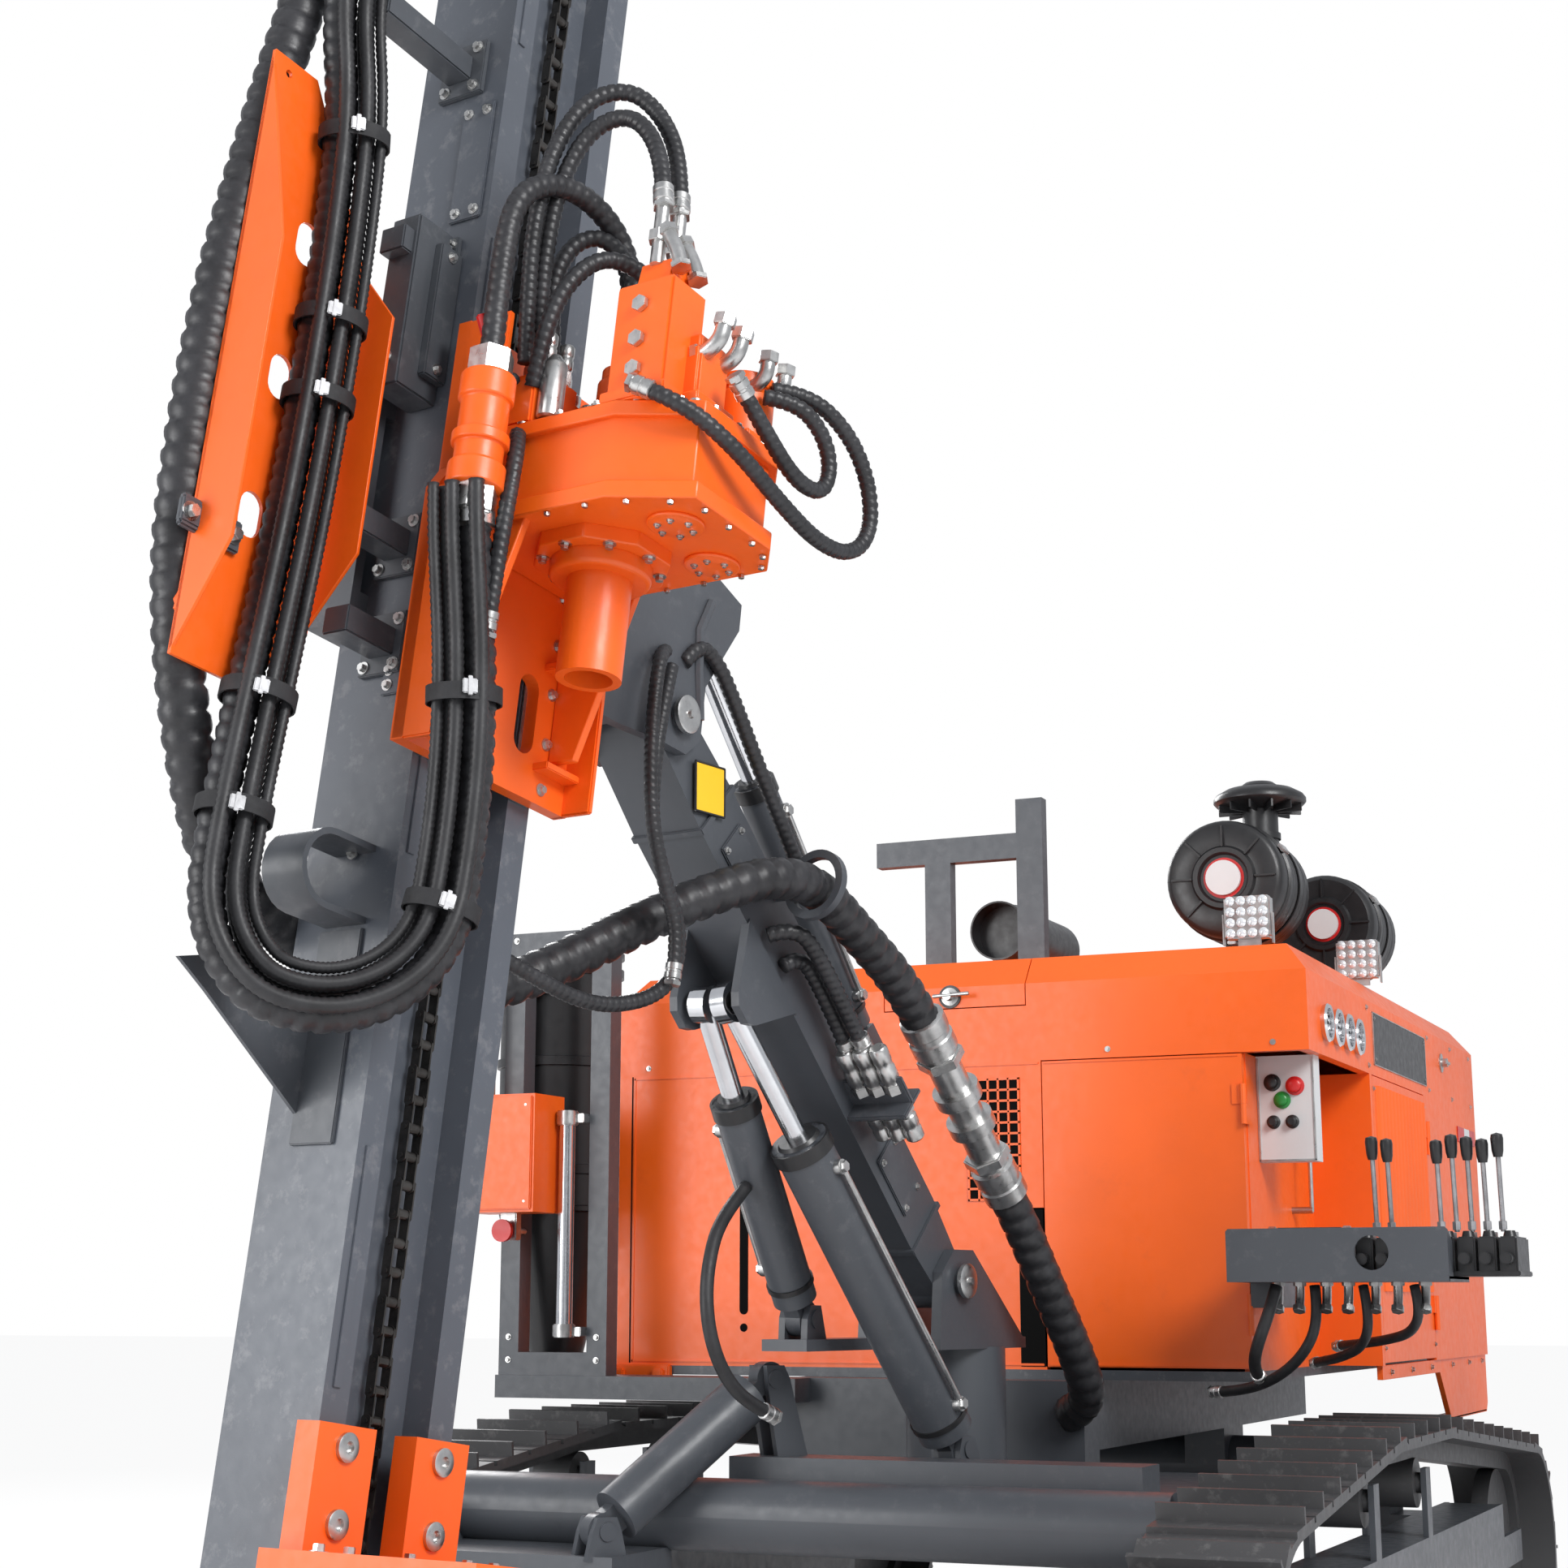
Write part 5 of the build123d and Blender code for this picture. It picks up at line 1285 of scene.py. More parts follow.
def canopy_front():
    """Grille, sight slot, seams, lug and hatch latch of the canopy's front."""
    # dark sheets painted as the shade inside the grille opening, the sight slot, the round hole and the
    # door seams and gaps
    gaps = Piece("canopy_gap_painted_shade", "hole", "chassis")
    gaps.box(MACHINE, (FRONT_X - 0.001, 0.066, 1.312), (FRONT_X + 0.0008, 0.207, 1.624))
    slot = [
        (-0.5845 + 0.0125 * math.cos(math.radians(t)), z + 0.0125 * math.sin(math.radians(t))) for z,
        turn in ((1.318, 0), (1.032, 180)) for t in range(turn, turn + 181, 20)
    ]
    gaps.prism(MACHINE, slot, FRONT_X - 0.001, FRONT_X + 0.0010, plane="yz")
    gaps.cyl(
        MACHINE, (FRONT_X - 0.001, -0.5845, 0.985), (FRONT_X + 0.001, -0.5845, 0.985), 0.011, sides=20,
    )
    gaps.box(MACHINE, (FRONT_X - 0.001, -0.932, 0.890), (FRONT_X + 0.0006, -0.928, 1.668))
    gaps.box(MACHINE, (FRONT_X - 0.001, 0.200, 0.891), (FRONT_X + 0.0009, 0.266, 1.286))
    gaps.done()
    bars = Piece("grille_bars", "orange", "chassis")
    for k in range(6):
        y = 0.066 + k * 0.028
        bars.box(MACHINE, (FRONT_X, y - 0.003, 1.309), (FRONT_X + 0.004, y + 0.003, 1.627), bevel=0.0008)
    for k in range(12):
        z = 1.312 + k * 0.0283
        bars.box(MACHINE, (FRONT_X, 0.063, z - 0.003), (FRONT_X + 0.004, 0.209, z + 0.003), bevel=0.0008)
    # folded edges of the doors and the lid, and the lug at the far corner
    for y0, y1, z0, z1 in (
        (-0.925, 0.262, 0.893, 0.899), (-0.925, 0.262, 1.658, 1.664), (-0.925, -0.919, 0.893, 1.664),
        (0.276, 0.790, 0.893, 0.899), (0.276, 0.790, 1.658, 1.664),
    ):
        bars.box(MACHINE, (FRONT_X - 0.001, y0, z0), (FRONT_X + 0.0025, y1, z1), bevel=0.001)
    bars.box(MACHINE, (FRONT_X - 0.010, -0.975, 0.822), (FRONT_X + 0.020, -0.800, 0.886), bevel=0.004)
    for y in (-0.950, -0.830):
        bars.box(
            MACHINE, (FRONT_X + 0.014, y - 0.016, 0.800), (FRONT_X + 0.034, y + 0.016, 0.876),
            bevel=0.004,
        )
    bars.done()
    latch = Piece("hatch_latch", "zinc", "hood_hatch")
    latch.turn(
        MACHINE, (FRONT_X, 0.020, 1.846), (1, 0, 0),
        [(0, 0.024), (0.005, 0.024), (0.007, 0.012), (0.030, 0.012), (0.030, 0)], sides=24,
    )
    latch.cyl(
        MACHINE, (FRONT_X + 0.026, -0.020, 1.846), (FRONT_X + 0.026, 0.082, 1.850), 0.0055, sides=10,
        bevel=0.001,
    )
    latch.done()
    base = Piece("hatch_latch_base", "black", "hood_hatch")
    base.cyl(
        MACHINE, (FRONT_X, 0.020, 1.846), (FRONT_X + 0.004, 0.020, 1.846), 0.031, sides=24, bevel=0.001,
    )
    base.done()
    screws = Piece("canopy_screws", "zinc", "chassis")
    for y in (-0.88, -0.45, 0.0, 0.45, 0.88):
        screws.bolt(MACHINE, (FRONT_X, y, 1.690), (1, 0, 0), 0.008, 0.005)
    for x in (-1.15, -2.05, -2.45, -2.80):
        for z in (1.690, 1.850):
            screws.bolt(MACHINE, (x, SIDE_Y, z), (0, 1, 0), 0.008, 0.005)
    for x in (-1.20, -1.94):
        for z in (0.93, 1.63):
            screws.bolt(MACHINE, (x, SIDE_Y, z), (0, 1, 0), 0.007, 0.005)
    screws.done()


def canopy_side():
    """Gauges, plate, louvres, reflectors, panel knobs and lever of the near side."""
    bezel = Piece("gauge_bezels", "chrome", "chassis")
    dial = Piece("gauge_dials", "white", "chassis")
    needle = Piece("gauge_needles", "black", "chassis")
    for k in range(4):
        x = -0.610 - k * 0.128
        bezel.turn(
            MACHINE, (x, SIDE_Y, GAUGE_Z), (0, 1, 0),
            [(0, 0.046), (0.012, 0.050), (0.018, 0.046), (0.016, 0.038), (0.008, 0.037)], sides=32,
        )
        dial.cyl(MACHINE, (x, SIDE_Y, GAUGE_Z), (x, SIDE_Y + 0.008, GAUGE_Z), 0.038, sides=28)
        for turn in range(-120, 121, 30):
            angle = math.radians(turn)
            spot = Vector(
                (x + 0.031 * math.sin(angle), SIDE_Y + 0.0085, GAUGE_Z + 0.031 * math.cos(angle))
            )
            tick = Vector((0.0012, 0.0006, 0.0012))
            needle.box(MACHINE, spot - tick, spot + tick)
        needle.cyl(
            MACHINE, (x, SIDE_Y + 0.010, GAUGE_Z),
            (x + 0.020, SIDE_Y + 0.010, GAUGE_Z + 0.018 - 0.01 * k), 0.0012, sides=6,
        )
        needle.cyl(MACHINE, (x, SIDE_Y + 0.008, GAUGE_Z), (x, SIDE_Y + 0.012, GAUGE_Z), 0.004, sides=12)
    bezel.done()
    dial.done()
    needle.done()
    board = Piece("name_plate", "black", "chassis")
    board.box(MACHINE, (-2.000, SIDE_Y, 1.700), (-1.225, SIDE_Y + 0.003, 1.842), bevel=0.001)
    board.done()
    rim = Piece("name_plate_rim", "zinc", "chassis")
    for x0, x1, z0, z1 in (
        (-2.004, -1.221, 1.697, 1.700), (-2.004, -1.221, 1.842, 1.845), (-2.004, -2.000, 1.697, 1.845),
        (-1.225, -1.221, 1.697, 1.845),
    ):
        rim.box(MACHINE, (x0, SIDE_Y, z0), (x1, SIDE_Y + 0.004, z1), bevel=0.0005)
    for x in (-1.985, -1.240):
        for z in (1.714, 1.828):
            rim.bolt(MACHINE, (x, SIDE_Y + 0.003, z), (0, 1, 0), 0.006, 0.003)
    rim.turn(
        MACHINE, (-2.285, SIDE_Y, 1.793), (0, 1, 0),
        [(0, 0.030), (0.004, 0.030), (0.006, 0.014), (0.022, 0.014), (0.022, 0)], sides=24,
    )
    rim.box(MACHINE, (-2.325, SIDE_Y + 0.016, 1.788), (-2.245, SIDE_Y + 0.024, 1.798), bevel=0.002)
    rim.done()
    louvres = Piece("louvres", "orange", "side_door_left")
    # dark strips painted as the shade between the louvre blades
    shade = Piece("louvre_gap_painted_shade", "hole", "side_door_left")
    for k in range(14):
        x = -1.245 - k * 0.0495
        shade.box(MACHINE, (x - 0.020, SIDE_Y - 0.001, 1.085), (x - 0.004, SIDE_Y + 0.0008, 1.635))
        louvres.prism(
            MACHINE, [(x - 0.004, SIDE_Y), (x + 0.018, SIDE_Y), (x + 0.010, SIDE_Y + 0.008),
            (x - 0.008, SIDE_Y + 0.013), (x - 0.011, SIDE_Y + 0.011)], 1.080, 1.640, plane="xy",
        )
    louvres.done(bevel=0.001)
    shade.done()
    reflector = Piece("side_reflector", "red", "chassis")
    reflector.box(MACHINE, (-2.640, SIDE_Y, 1.560), (-2.520, SIDE_Y + 0.003, 1.610), bevel=0.001)
    reflector.box(MACHINE, (-2.840, SIDE_Y, 1.560), (-2.740, SIDE_Y + 0.003, 1.610), bevel=0.001)
    reflector.done()
    pale = Piece("side_reflector_pale", "white", "chassis")
    pale.box(MACHINE, (-2.740, SIDE_Y, 1.560), (-2.640, SIDE_Y + 0.003, 1.610), bevel=0.001)
    pale.done()
    face = -0.560
    for name, material, spots in (
        ("panel_dark", "black", ((0.842, 1.600, 0.019), (0.842, 1.500, 0.015), (0.890, 1.500, 0.015))),
        ("panel_green", "green", ((0.866, 1.555, 0.019),)),
        ("panel_red", "red", ((0.900, 1.590, 0.021),)),
    ):
        knobs = Piece(name, material, "chassis")
        for y, z, r in spots:
            knobs.turn(
                MACHINE, (face, y, z), (1, 0, 0), [(0, r * 1.15), (0.004, r * 1.15), (0.006, r * 0.85),
                (0.018, r * 0.80), (0.021, r * 0.6), (0.021, 0)], sides=24,
            )
        knobs.done()
    frame_edge = Piece("panel_rim", "zinc", "chassis")
    for y0, y1, z0, z1 in (
        (0.803, 0.948, 1.402, 1.406), (0.803, 0.807, 1.402, 1.662), (0.944, 0.948, 1.402, 1.662),
    ):
        frame_edge.box(MACHINE, (face - 0.001, y0, z0), (face + 0.003, y1, z1), bevel=0.0005)
    frame_edge.cyl(MACHINE, (-0.900, RECESS_Y, 1.290), (-0.900, RECESS_Y + 0.055, 1.290), 0.009, sides=12)
    frame_edge.cyl(
        MACHINE, (-0.900, RECESS_Y + 0.052, 1.286), (-0.900, RECESS_Y + 0.052, 1.460), 0.006, sides=12,
    )
    frame_edge.done()
    ball = Piece("lever_ball", "black", "chassis")
    profile = [(0, 0.006)]
    for degrees in range(30, 180, 15):
        angle = math.radians(degrees)
        profile.append((0.024 - 0.023 * math.cos(angle), 0.023 * math.sin(angle)))
    profile.append((0.047, 0))
    ball.turn(MACHINE, (-0.900, RECESS_Y + 0.052, 1.450), (0, 0, 1), profile, sides=24)
    ball.done()


def roof():
    """Air filters, rain cap, muffler and lamps."""
    cans = Piece("filter_cans", "black", "chassis")
    clips = Piece("filter_clips", "zinc", "chassis")
    disc = Piece("filter_discs", "white", "chassis")
    mark = Piece("filter_disc_rims", "red", "chassis")
    for x, y, z, r, long in ((-1.000, 0.620, 2.215, 0.165, 0.420), (-1.620, 0.760, 2.160, 0.150, 0.420)):
        profile = [
            (0.012, 0), (0.012, r * 0.40), (0.0, r * 0.44), (0.0, r * 0.52), (0.010, r * 0.56),
            (0.006, r * 0.90), (0.014, r * 0.97), (0.022, r),
        ]
        profile += [(0.090, r), (0.094, r * 1.04), (0.112, r * 1.04), (0.116, r)]
        for k in range(5):
            s = 0.150 + k * 0.036
            profile += [(s, r * 0.985), (s + 0.008, r), (s + 0.018, r), (s + 0.026, r * 0.985)]
        profile += [(0.340, r), (0.352, r * 0.96), (long, r * 0.62), (long, 0)]
        cans.turn(MACHINE, (x, y, z), (-1, 0, 0), profile, sides=48)
        cans.box(
            MACHINE, (x - long * 0.62, y - 0.045, ROOF_Z), (x - long * 0.42, y + 0.045, z - r * 0.8),
            bevel=0.006,
        )
        cans.turn(
            MACHINE, (x - 0.240, y, z), (1, 0, 0),
            [(0, r * 1.005), (0, r * 1.03), (0.030, r * 1.03), (0.030, r * 1.005)], sides=48, close=True,
        )
        for k in range(8):
            angle = math.radians(k * 45)
            dy, dz = math.cos(angle), math.sin(angle)
            place = (x - 0.004, y + dy * r * 0.72, z + dz * r * 0.72)
            spot = MACHINE @ Matrix.Translation(place) @ Matrix.Rotation(angle, 4, "X")
            cans.box(spot, (-0.008, -0.030, -0.003), (0.004, 0.030, 0.003), bevel=0.001)
        for k in range(3):
            angle = math.radians(30 + k * 120)
            place = (x - 0.100, y + math.cos(angle) * r * 1.045, z + math.sin(angle) * r * 1.045)
            spot = MACHINE @ Matrix.Translation(place) @ Matrix.Rotation(angle, 4, "X")
            clips.box(spot, (-0.040, -0.004, -0.012), (0.030, 0.006, 0.012), bevel=0.002)
        disc.cyl(MACHINE, (x, y, z), (x - 0.0115, y, z), r * 0.30, sides=32)
        mark.turn(
            MACHINE, (x - 0.0125, y, z), (1, 0, 0),
            [(0, r * 0.30), (0.0015, r * 0.30), (0.0015, r * 0.35), (0, r * 0.35)], sides=32, close=True,
        )
    disc.done()
    mark.done()
    clips.done()
    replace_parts(cans.done(), "air_filters")
    cap = Piece("rain_hood", "black", "chassis")
    profile = [
        (-0.120, 0), (-0.120, 0.050), (-0.010, 0.050), (-0.004, 0.060), (0.006, 0.124), (0.014, 0.131),
        (0.024, 0.131), (0.034, 0.124), (0.050, 0.096), (0.054, 0.060), (0.060, 0.056), (0.072, 0.040),
        (0.074, 0),
    ]
    cap.turn(MACHINE, (-1.180, 0.690, 2.440), (0, 0, 1), profile, sides=48)
    for k in range(12):
        angle = math.radians(30 * k)
        cap.box(
            MACHINE @ Matrix.Translation((-1.180, 0.690, 2.436)) @ Matrix.Rotation(angle, 4, "Z"),
            (0.052, -0.003, -0.014), (0.120, 0.003, 0.010), bevel=0.001,
        )
    cap.turn(
        MACHINE, (-1.180, 0.690, 2.345), (0, 0, 1),
        [(0, 0.052), (0, 0.056), (0.018, 0.056), (0.018, 0.052)], sides=32, close=True,
    )
    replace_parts(cap.done(), "rain_cap")
    pipe = Piece("muffler_pipe", "black", "chassis")
    x, y, z = -1.150, -0.100, 2.130
    pipe.turn(
        MACHINE, (x, y, z), (-1, 0, 0), [(0.070, 0), (0.070, 0.082), (0.0, 0.083), (0.0, 0.088),
        (0.100, 0.088), (0.102, 0.092), (0.124, 0.092), (0.126, 0.088), (0.510, 0.088), (0.520, 0.070),
        (0.520, 0)], sides=40,
    )
    pipe.box(MACHINE, (x - 0.400, y - 0.040, ROOF_Z), (x - 0.300, y + 0.040, z - 0.070), bevel=0.004)
    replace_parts(pipe.done(), "muffler")
    shell = Piece("lamp_shells", "zinc", "chassis")
    glass = Piece("lamp_lenses", "lens", "chassis")
    for x, y in ((-0.480, 0.810), (-1.400, 0.900)):
        shell.box(MACHINE, (x - 0.050, y - 0.060, 1.965), (x - 0.006, y + 0.060, 2.075), bevel=0.006)
        shell.box(MACHINE, (x - 0.034, y - 0.030, ROOF_Z), (x - 0.028, y + 0.030, 1.970), bevel=0.001)
        for side in (-1, 1):
            shell.box(
                MACHINE, (x - 0.030, y + side * 0.064 - 0.002, 1.950),
                (x - 0.014, y + side * 0.064 + 0.002, 2.030), bevel=0.0008,
            )
        for k in range(6):
            shell.box(
                MACHINE, (x - 0.066, y - 0.052 + k * 0.0195, 1.972),
                (x - 0.048, y - 0.046 + k * 0.0195, 2.068), bevel=0.001,
            )
        for row in range(4):
            for col in range(4):
                spot = (x - 0.010, y - 0.043 + col * 0.0287, 1.978 + row * 0.0280)
                glass.turn(
                    MACHINE, spot, (1, 0, 0),
                    [(0, 0.0125), (0.006, 0.0125), (0.010, 0.008), (0.011, 0)], sides=14,
                )
    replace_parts(shell.done(), "work_lamps")
    glass.done()


canopy_front()
canopy_side()
roof()


# Console, valve bank and levers on the near side
def pipe_run(name, body, at, points, diameter, material, sides=14):
    path = evenly(spline_points([at @ Vector(p) for p in points]), diameter * 0.4)
    return tube_along(name, body, path, diameter, material, sides)


def console():
    """Console tray, valve sections, levers and elbows."""
    tray = Piece("console_tray", "grey", "chassis")
    plate(
        tray, MACHINE, [(-0.420, 0.815), (-0.150, 0.815), (-0.150, 1.330), (-0.420, 1.330)],
        [ring_points(-0.205, 1.155, 0.036)], 1.098, 1.110, plane="xy",
    )
    hole = ring_points(1.155, 1.164, 0.040)
    plate(
        tray, MACHINE, [(0.812, 1.098), (1.330, 1.098), (1.330, 1.216), (1.324, 1.222), (0.818, 1.222),
        (0.812, 1.216)], [hole], -0.160, -0.151, plane="yz",
    )
    tray.prism(
        MACHINE, [(-0.420, 1.104), (-0.160, 1.104), (-0.160, 1.216), (-0.300, 1.150), (-0.420, 1.125)],
        0.812, 0.820,
    )
    tray.prism(
        MACHINE, [(-0.420, 1.104), (-0.160, 1.104), (-0.160, 1.216), (-0.300, 1.150), (-0.420, 1.125)],
        1.322, 1.330,
    )
    tray.box(MACHINE, (-0.640, 0.815, 1.038), (-0.360, 0.875, 1.104), bevel=0.004)
    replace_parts(tray.done(), "control_stand")
    bank = Piece("valve_sections", "black", "chassis")
    for k in range(8):
        y = 1.105 + k * 0.047
        bank.box(MACHINE, (-0.398, y, 1.114), (-0.214, y + 0.041, 1.200), bevel=0.004)
        bank.cyl(
            MACHINE, (-0.214, y + 0.020, 1.150), (-0.176, y + 0.020, 1.150), 0.014, sides=16,
            bevel=0.002,
        )
        bank.cyl(
            MACHINE, (-0.260, y + 0.020, 1.196), (-0.260, y + 0.020, 1.214), 0.017, r2=0.012, sides=16,
        )
    bank.box(MACHINE, (-0.400, 1.100, 1.110), (-0.210, 1.480, 1.122), bevel=0.002)
    bank.box(MACHINE, (-0.380, 0.860, 1.110), (-0.230, 1.085, 1.180), bevel=0.006)
    bank.cyl(MACHINE, (-0.300, 0.900, 1.200), (-0.300, 1.060, 1.200), 0.028, sides=24, bevel=0.004)
    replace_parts(bank.done(), "valve_bank")
    nuts = Piece("bank_nuts", "zinc", "chassis")
    for k in range(8):
        y = 1.125 + k * 0.047
        nuts.cyl(MACHINE, (-0.306, y, 1.194), (-0.306, y, 1.212), 0.013, sides=6, bevel=0.001)
        nuts.bolt(MACHINE, (-0.350, y, 1.198), (0, 0, 1), 0.008, 0.006)
    for y in (0.890, 1.070):
        nuts.cyl(
            MACHINE, (-0.300, y - 0.010, 1.200), (-0.300, y + 0.010, 1.200), 0.031, sides=6, bevel=0.002,
        )
    nuts.done()
    rods = Piece("lever_rods", "steel", "chassis")
    grips = Piece("lever_grips", "black", "chassis")
    for k, y in enumerate((1.150, 1.185, 1.300, 1.335, 1.370, 1.405, 1.440)):
        high = 1.438 - 0.006 * (k % 3)
        rods.cyl(MACHINE, (-0.260, y, 1.212), (-0.2405, y, high - 0.040), 0.0058, sides=12)
        rods.cyl(MACHINE, (-0.258, y, 1.216), (-0.2565, y, 1.236), 0.010, sides=6, bevel=0.001)
        grips.turn(
            MACHINE, (-0.2415, y, high - 0.056), (0.10, 0, 1),
            [(0, 0), (0, 0.0105), (0.014, 0.0135), (0.042, 0.0150), (0.052, 0.0130), (0.056, 0)],
            sides=20,
        )
    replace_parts(rods.done(), "control_levers")
    grips.done()
    fittings = Piece("console_elbows", "zinc", "chassis")
    for k in range(7):
        y = 0.900 + k * 0.058
        elbow(
            fittings, MACHINE, (-0.300 + 0.030 * (k % 2), y, 1.098), (0, 0, -1), (0.5, 0, -1), 0.011,
            0.030, 0.030,
        )
    fittings.done()


CONSOLE_HOSES = (
    # name, diameter, route in the machine's frame
    ("console_hose_1", 0.030, (
        (-0.255, 0.905, 1.090), (-0.236, 0.890, 1.030), (-0.232, 0.868, 0.975), (-0.250, 0.846, 0.925),
        (-0.290, 0.838, 0.888), (-0.340, 0.836, 0.872),
    )),
    ("console_hose_2", 0.026, (
        (-0.285, 0.990, 1.090), (-0.270, 1.000, 1.010), (-0.280, 0.960, 0.930), (-0.320, 0.880, 0.870),
        (-0.380, 0.780, 0.840), (-0.420, 0.700, 0.835),
    )),
    ("console_hose_3", 0.024, (
        (-0.285, 1.105, 1.090), (-0.270, 1.120, 1.020), (-0.300, 1.100, 0.950), (-0.380, 1.020, 0.920),
        (-0.460, 0.960, 0.910), (-0.520, 0.930, 0.905),
    )),
    ("console_hose_4", 0.024, (
        (-0.285, 1.225, 1.090), (-0.270, 1.240, 1.030), (-0.310, 1.210, 0.980), (-0.400, 1.120, 0.960),
        (-0.500, 1.030, 0.950), (-0.580, 0.975, 0.945),
    )),
)


def skirts():
    """Stepped skirts under both canopy sides."""
    outline = [
        (-1.187, 0.884), (-1.187, 0.846), (-2.040, 0.846), (-2.200, 0.702), (-2.850, 0.702),
        (-2.878, 0.730), (-2.878, 0.884),
    ]
    rail = Piece("side_skirts", "orange", "chassis")
    bolts = Piece("skirt_bolts", "zinc", "chassis")
    for sign in (-1, 1):
        y0, y1 = sorted((sign * 0.946, sign * 0.962))
        rail.prism(MACHINE, outline, y0, y1)
        y0, y1 = sorted((sign * 0.900, sign * 0.962))
        rail.box(MACHINE, (-2.850, y0, 0.702), (-2.200, y1, 0.712), bevel=0.002)
        for x in (-1.300, -1.600, -1.900, -2.250, -2.550, -2.800):
            bolts.bolt(MACHINE, (x, sign * 0.962, 0.865), (0, sign, 0), 0.009, 0.007)
    rail.done(bevel=0.002)
    bolts.done()


def dust_collector():
    """Dust tank with its hoops, box lid, ram, valve and elbow."""
    x, y = -0.470, -1.190
    tank = Piece("dust_hoops", "black", "chassis")
    profile = [
        (0.800, 0), (0.800, 0.060), (0.830, 0.060), (0.834, 0.070), (0.846, 0.070), (0.850, 0.064),
        (1.296, 0.166), (1.300, 0.180), (1.312, 0.180), (1.316, 0.171),
    ]
    for z in (1.400, 1.700, 1.960):
        profile += [(z, 0.171), (z + 0.002, 0.179), (z + 0.026, 0.179), (z + 0.028, 0.171)]
    profile += [
        (2.014, 0.171), (2.018, 0.180), (2.034, 0.180), (2.038, 0.160), (2.050, 0.100), (2.050, 0),
    ]
    tank.turn(MACHINE, (x, y, 0), (0, 0, 1), profile, sides=64)
    for z in (1.400, 1.700, 1.960):
        tank.box(
            MACHINE, (x + 0.170, y - 0.020, z - 0.004), (x + 0.196, y + 0.020, z + 0.030), bevel=0.003,
        )
    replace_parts(tank.done(), "dust_hopper")
    bolts = Piece("dust_bolts", "zinc", "chassis")
    for k in range(12):
        angle = math.radians(30 * k + 15)
        bolts.bolt(
            MACHINE, (x + 0.168 * math.cos(angle), y + 0.168 * math.sin(angle), 2.036), (0, 0, 1),
            0.009, 0.008,
        )
    for z in (1.413, 1.713, 1.973):
        bolts.bolt(MACHINE, (x + 0.196, y, z), (1, 0, 0), 0.010, 0.008)
    for spot in ((-0.055, -1.235), (-0.055, -1.055)):
        for z in (1.315, 1.570):
            bolts.bolt(MACHINE, (spot[0], spot[1], z), (1, 0, 0), 0.008, 0.006)
    for z in (0.900, 0.960, 1.980, 2.040):
        bolts.bolt(MACHINE, (-0.215, -1.190, z), (1, 0, 0), 0.009, 0.008)
        bolts.bolt(MACHINE, (-0.215, -0.920, z), (1, 0, 0), 0.009, 0.008)
    bolts.done()
    lid = Piece("dust_box_lid", "orange", "chassis")
    lid.box(MACHINE, (-0.056, -1.254, 1.293), (-0.048, -1.036, 1.594), bevel=0.003)
    lid.done()
    tube = Piece("dust_ram", "chrome", "chassis")
    tube.cyl(MACHINE, (-0.180, -1.000, 0.980), (-0.180, -1.000, 1.540), 0.022, sides=24)
    tube.done()
    heads = Piece("dust_ram_ends", "zinc", "chassis")
    heads.cyl(MACHINE, (-0.180, -1.000, 0.960), (-0.180, -1.000, 0.995), 0.030, sides=24, bevel=0.003)
    heads.cyl(MACHINE, (-0.180, -1.000, 1.520), (-0.180, -1.000, 1.560), 0.030, sides=24, bevel=0.003)
    for z in (0.975, 1.540):
        heads.box(MACHINE, (-0.220, -1.010, z - 0.012), (-0.180, -0.950, z + 0.012), bevel=0.002)
    heads.done()
    knob = Piece("dust_valve", "red", "chassis")
    knob.turn(
        MACHINE, (-0.130, -1.150, 1.240), (1, 0, 0),
        [(0, 0.012), (0.020, 0.012), (0.022, 0.030), (0.034, 0.030), (0.034, 0)], sides=24,
    )
    knob.box(MACHINE, (-0.272, -1.226, 1.560), (-0.268, -1.222, 1.640))
    knob.done()
    body = Piece("dust_valve_body", "zinc", "chassis")
    body.box(MACHINE, (-0.160, -1.175, 1.215), (-0.130, -1.125, 1.290), bevel=0.003)
    body.cyl(MACHINE, (-0.214, -1.150, 1.240), (-0.150, -1.150, 1.240), 0.010, sides=12)
    body.done()
    pipe_run("dust_elbow", "chassis", MACHINE, (
        (-0.300, -1.250, 1.990), (-0.250, -1.255, 2.000), (-0.190, -1.258, 1.970),
        (-0.172, -1.258, 1.880), (-0.172, -1.258, 1.780), (-0.172, -1.258, 1.610),
    ), 0.058, "beige")


console()
for name, diameter, route in CONSOLE_HOSES:
    cord(name, MACHINE, route, diameter, "chassis", kind="plain", material="rubber")
skirts()
dust_collector()


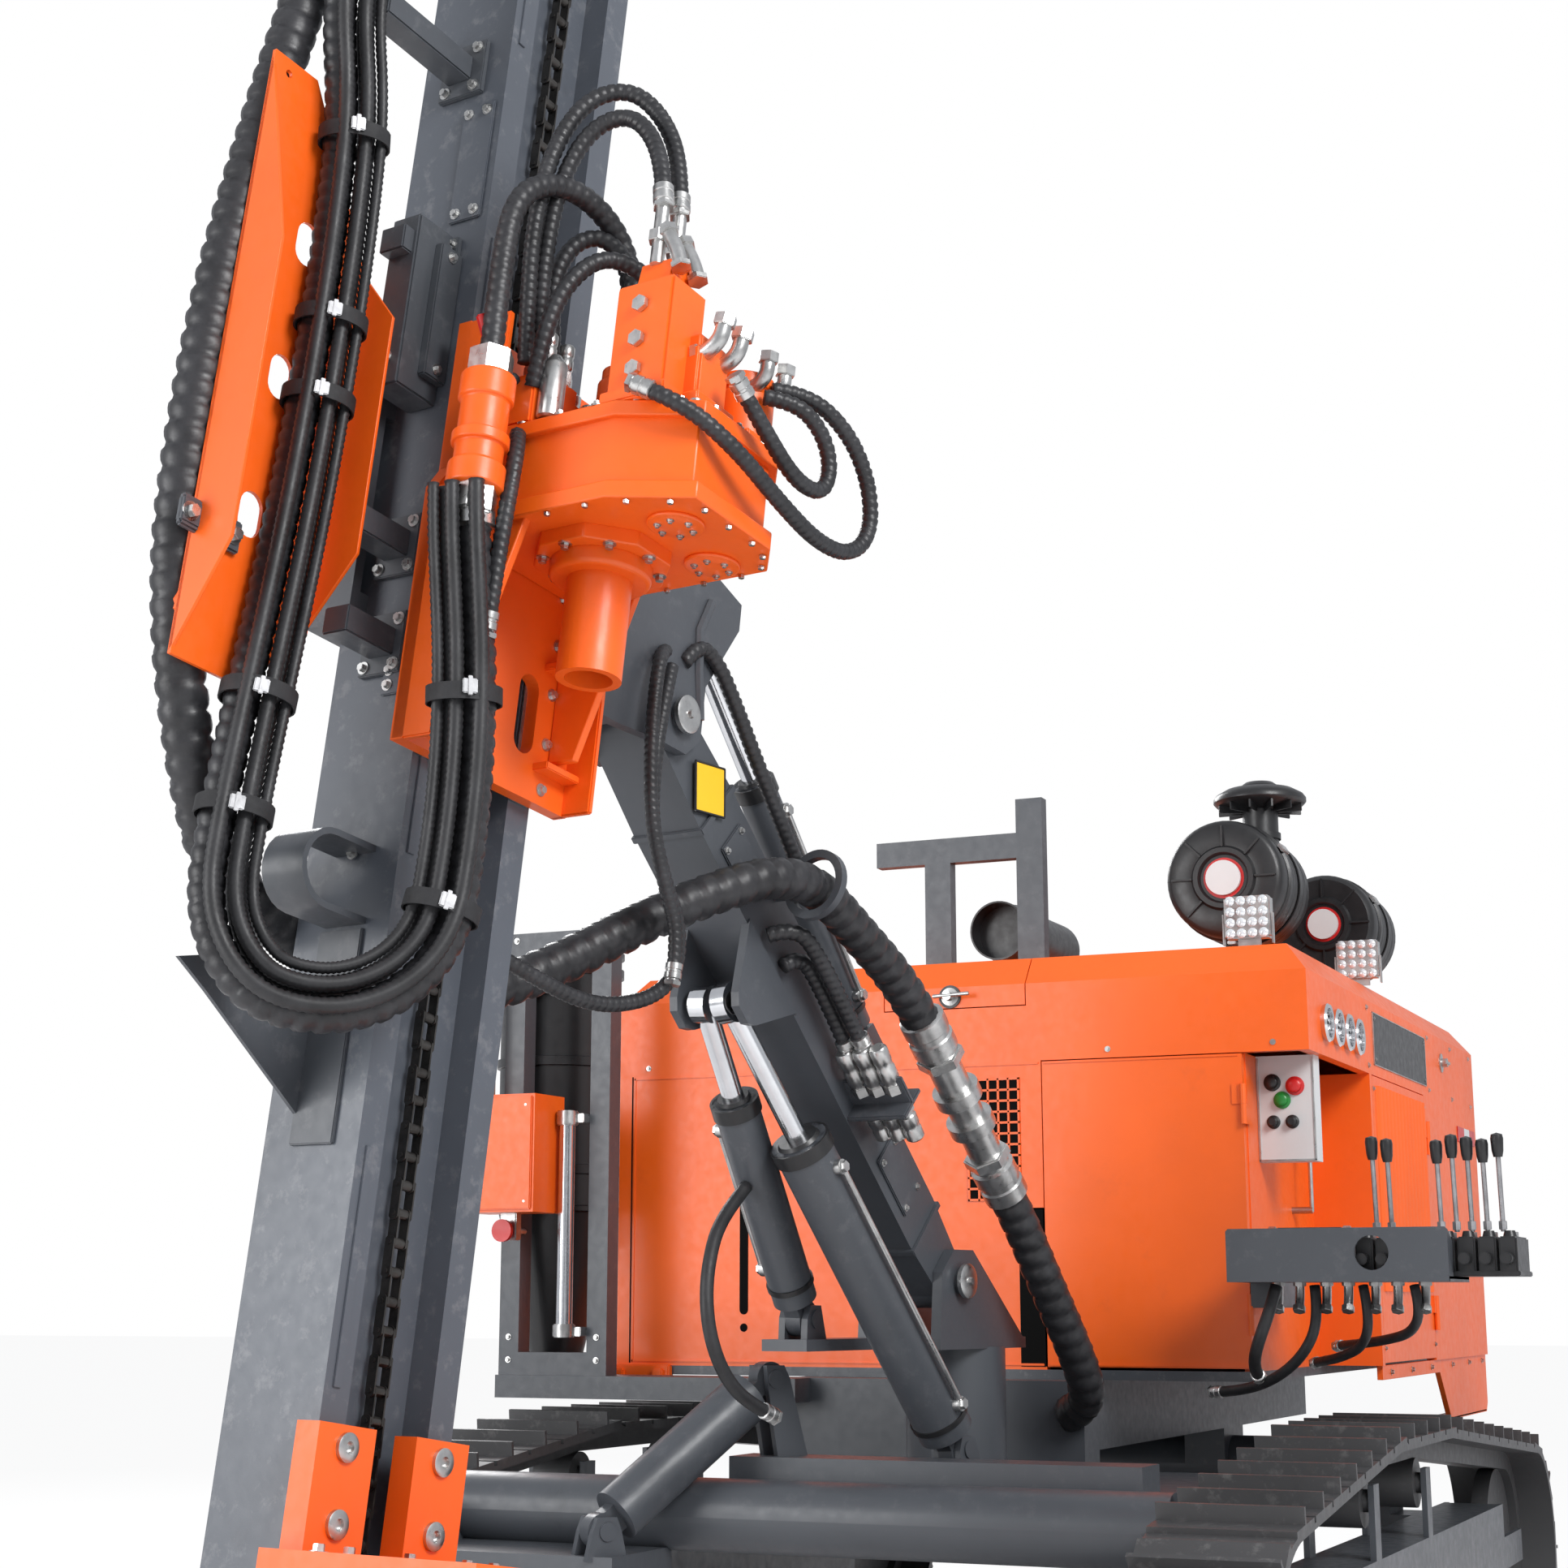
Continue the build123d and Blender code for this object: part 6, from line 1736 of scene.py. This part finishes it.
# Hydraulic rams: foot, eye, place of the gland and radius, in the boom's frame
RAMS = (
    (
        "lift_barrel_far", "lift_rod_far", (-1,), (0.532, -0.095, 1.016), (1.003, -0.034, 1.676), 0.576,
        0.050,
    ),
    (
        "lift_barrel_near", "lift_rod_near", (1,), (0.250, 0.140, 0.722), (1.003, 0.030, 1.676), 0.862,
        0.064,
    ),
    ("tilt_barrel", "tilt_rod", (-1, 1), (0.430, 0.000, 1.640), (1.130, 0.000, 2.500), 0.700, 0.045),
)


def ram_trim():
    """Gland rings, ports, oil pipes and eye caps of the three big rams."""
    for barrel, rod, caps, foot, eye, gland, radius in RAMS:
        foot, eye = Vector(foot), Vector(eye)
        axis = (eye - foot).normalized()
        side = Vector((0, 1 if foot.y >= 0 else -1, 0))
        side = (side - axis * axis.dot(side)).normalized()
        rings = Piece(barrel + "_rings", "black", barrel)
        for along, wide, high in ((gland - 0.034, 0.034, 0.005), (0.092, 0.012, 0.004)):
            profile = [
                (0, radius - 0.001), (0, radius + high), (wide, radius + high), (wide, radius - 0.001),
            ]
            rings.turn(BOOM, foot + axis * along, axis, profile, sides=40)
        rings.turn(
            BOOM, foot + axis * gland, axis,
            [(-0.002, 0.026), (-0.002, radius * 0.8), (0.008, radius * 0.7), (0.008, 0.026)], sides=32,
        )
        rings.done()
        ports = Piece(barrel + "_ports", "zinc", barrel)
        low, high = foot + axis * 0.130, foot + axis * (gland - 0.080)
        for spot in (low, high):
            ports.cyl(
                BOOM, spot + side * (radius - 0.004), spot + side * (radius + 0.016), 0.017, sides=20,
                bevel=0.002,
            )
            ports.cyl(
                BOOM, spot + side * (radius + 0.012), spot + side * (radius + 0.024), 0.013, sides=6,
                bevel=0.001,
            )
        ports.cyl(BOOM, low + side * (radius + 0.013), high + side * (radius + 0.013), 0.0065, sides=12)
        ports.done()
        pins = Piece(rod + "_pin", "zinc", rod)
        for sign in caps:
            pins.turn(
                BOOM, eye + Vector((0, sign * 0.026, 0)), (0, sign, 0),
                [(0, 0.026), (0.004, 0.026), (0.004, 0.010), (0.009, 0.008), (0.009, 0)], sides=24,
            )
        pins.done()


ram_trim()
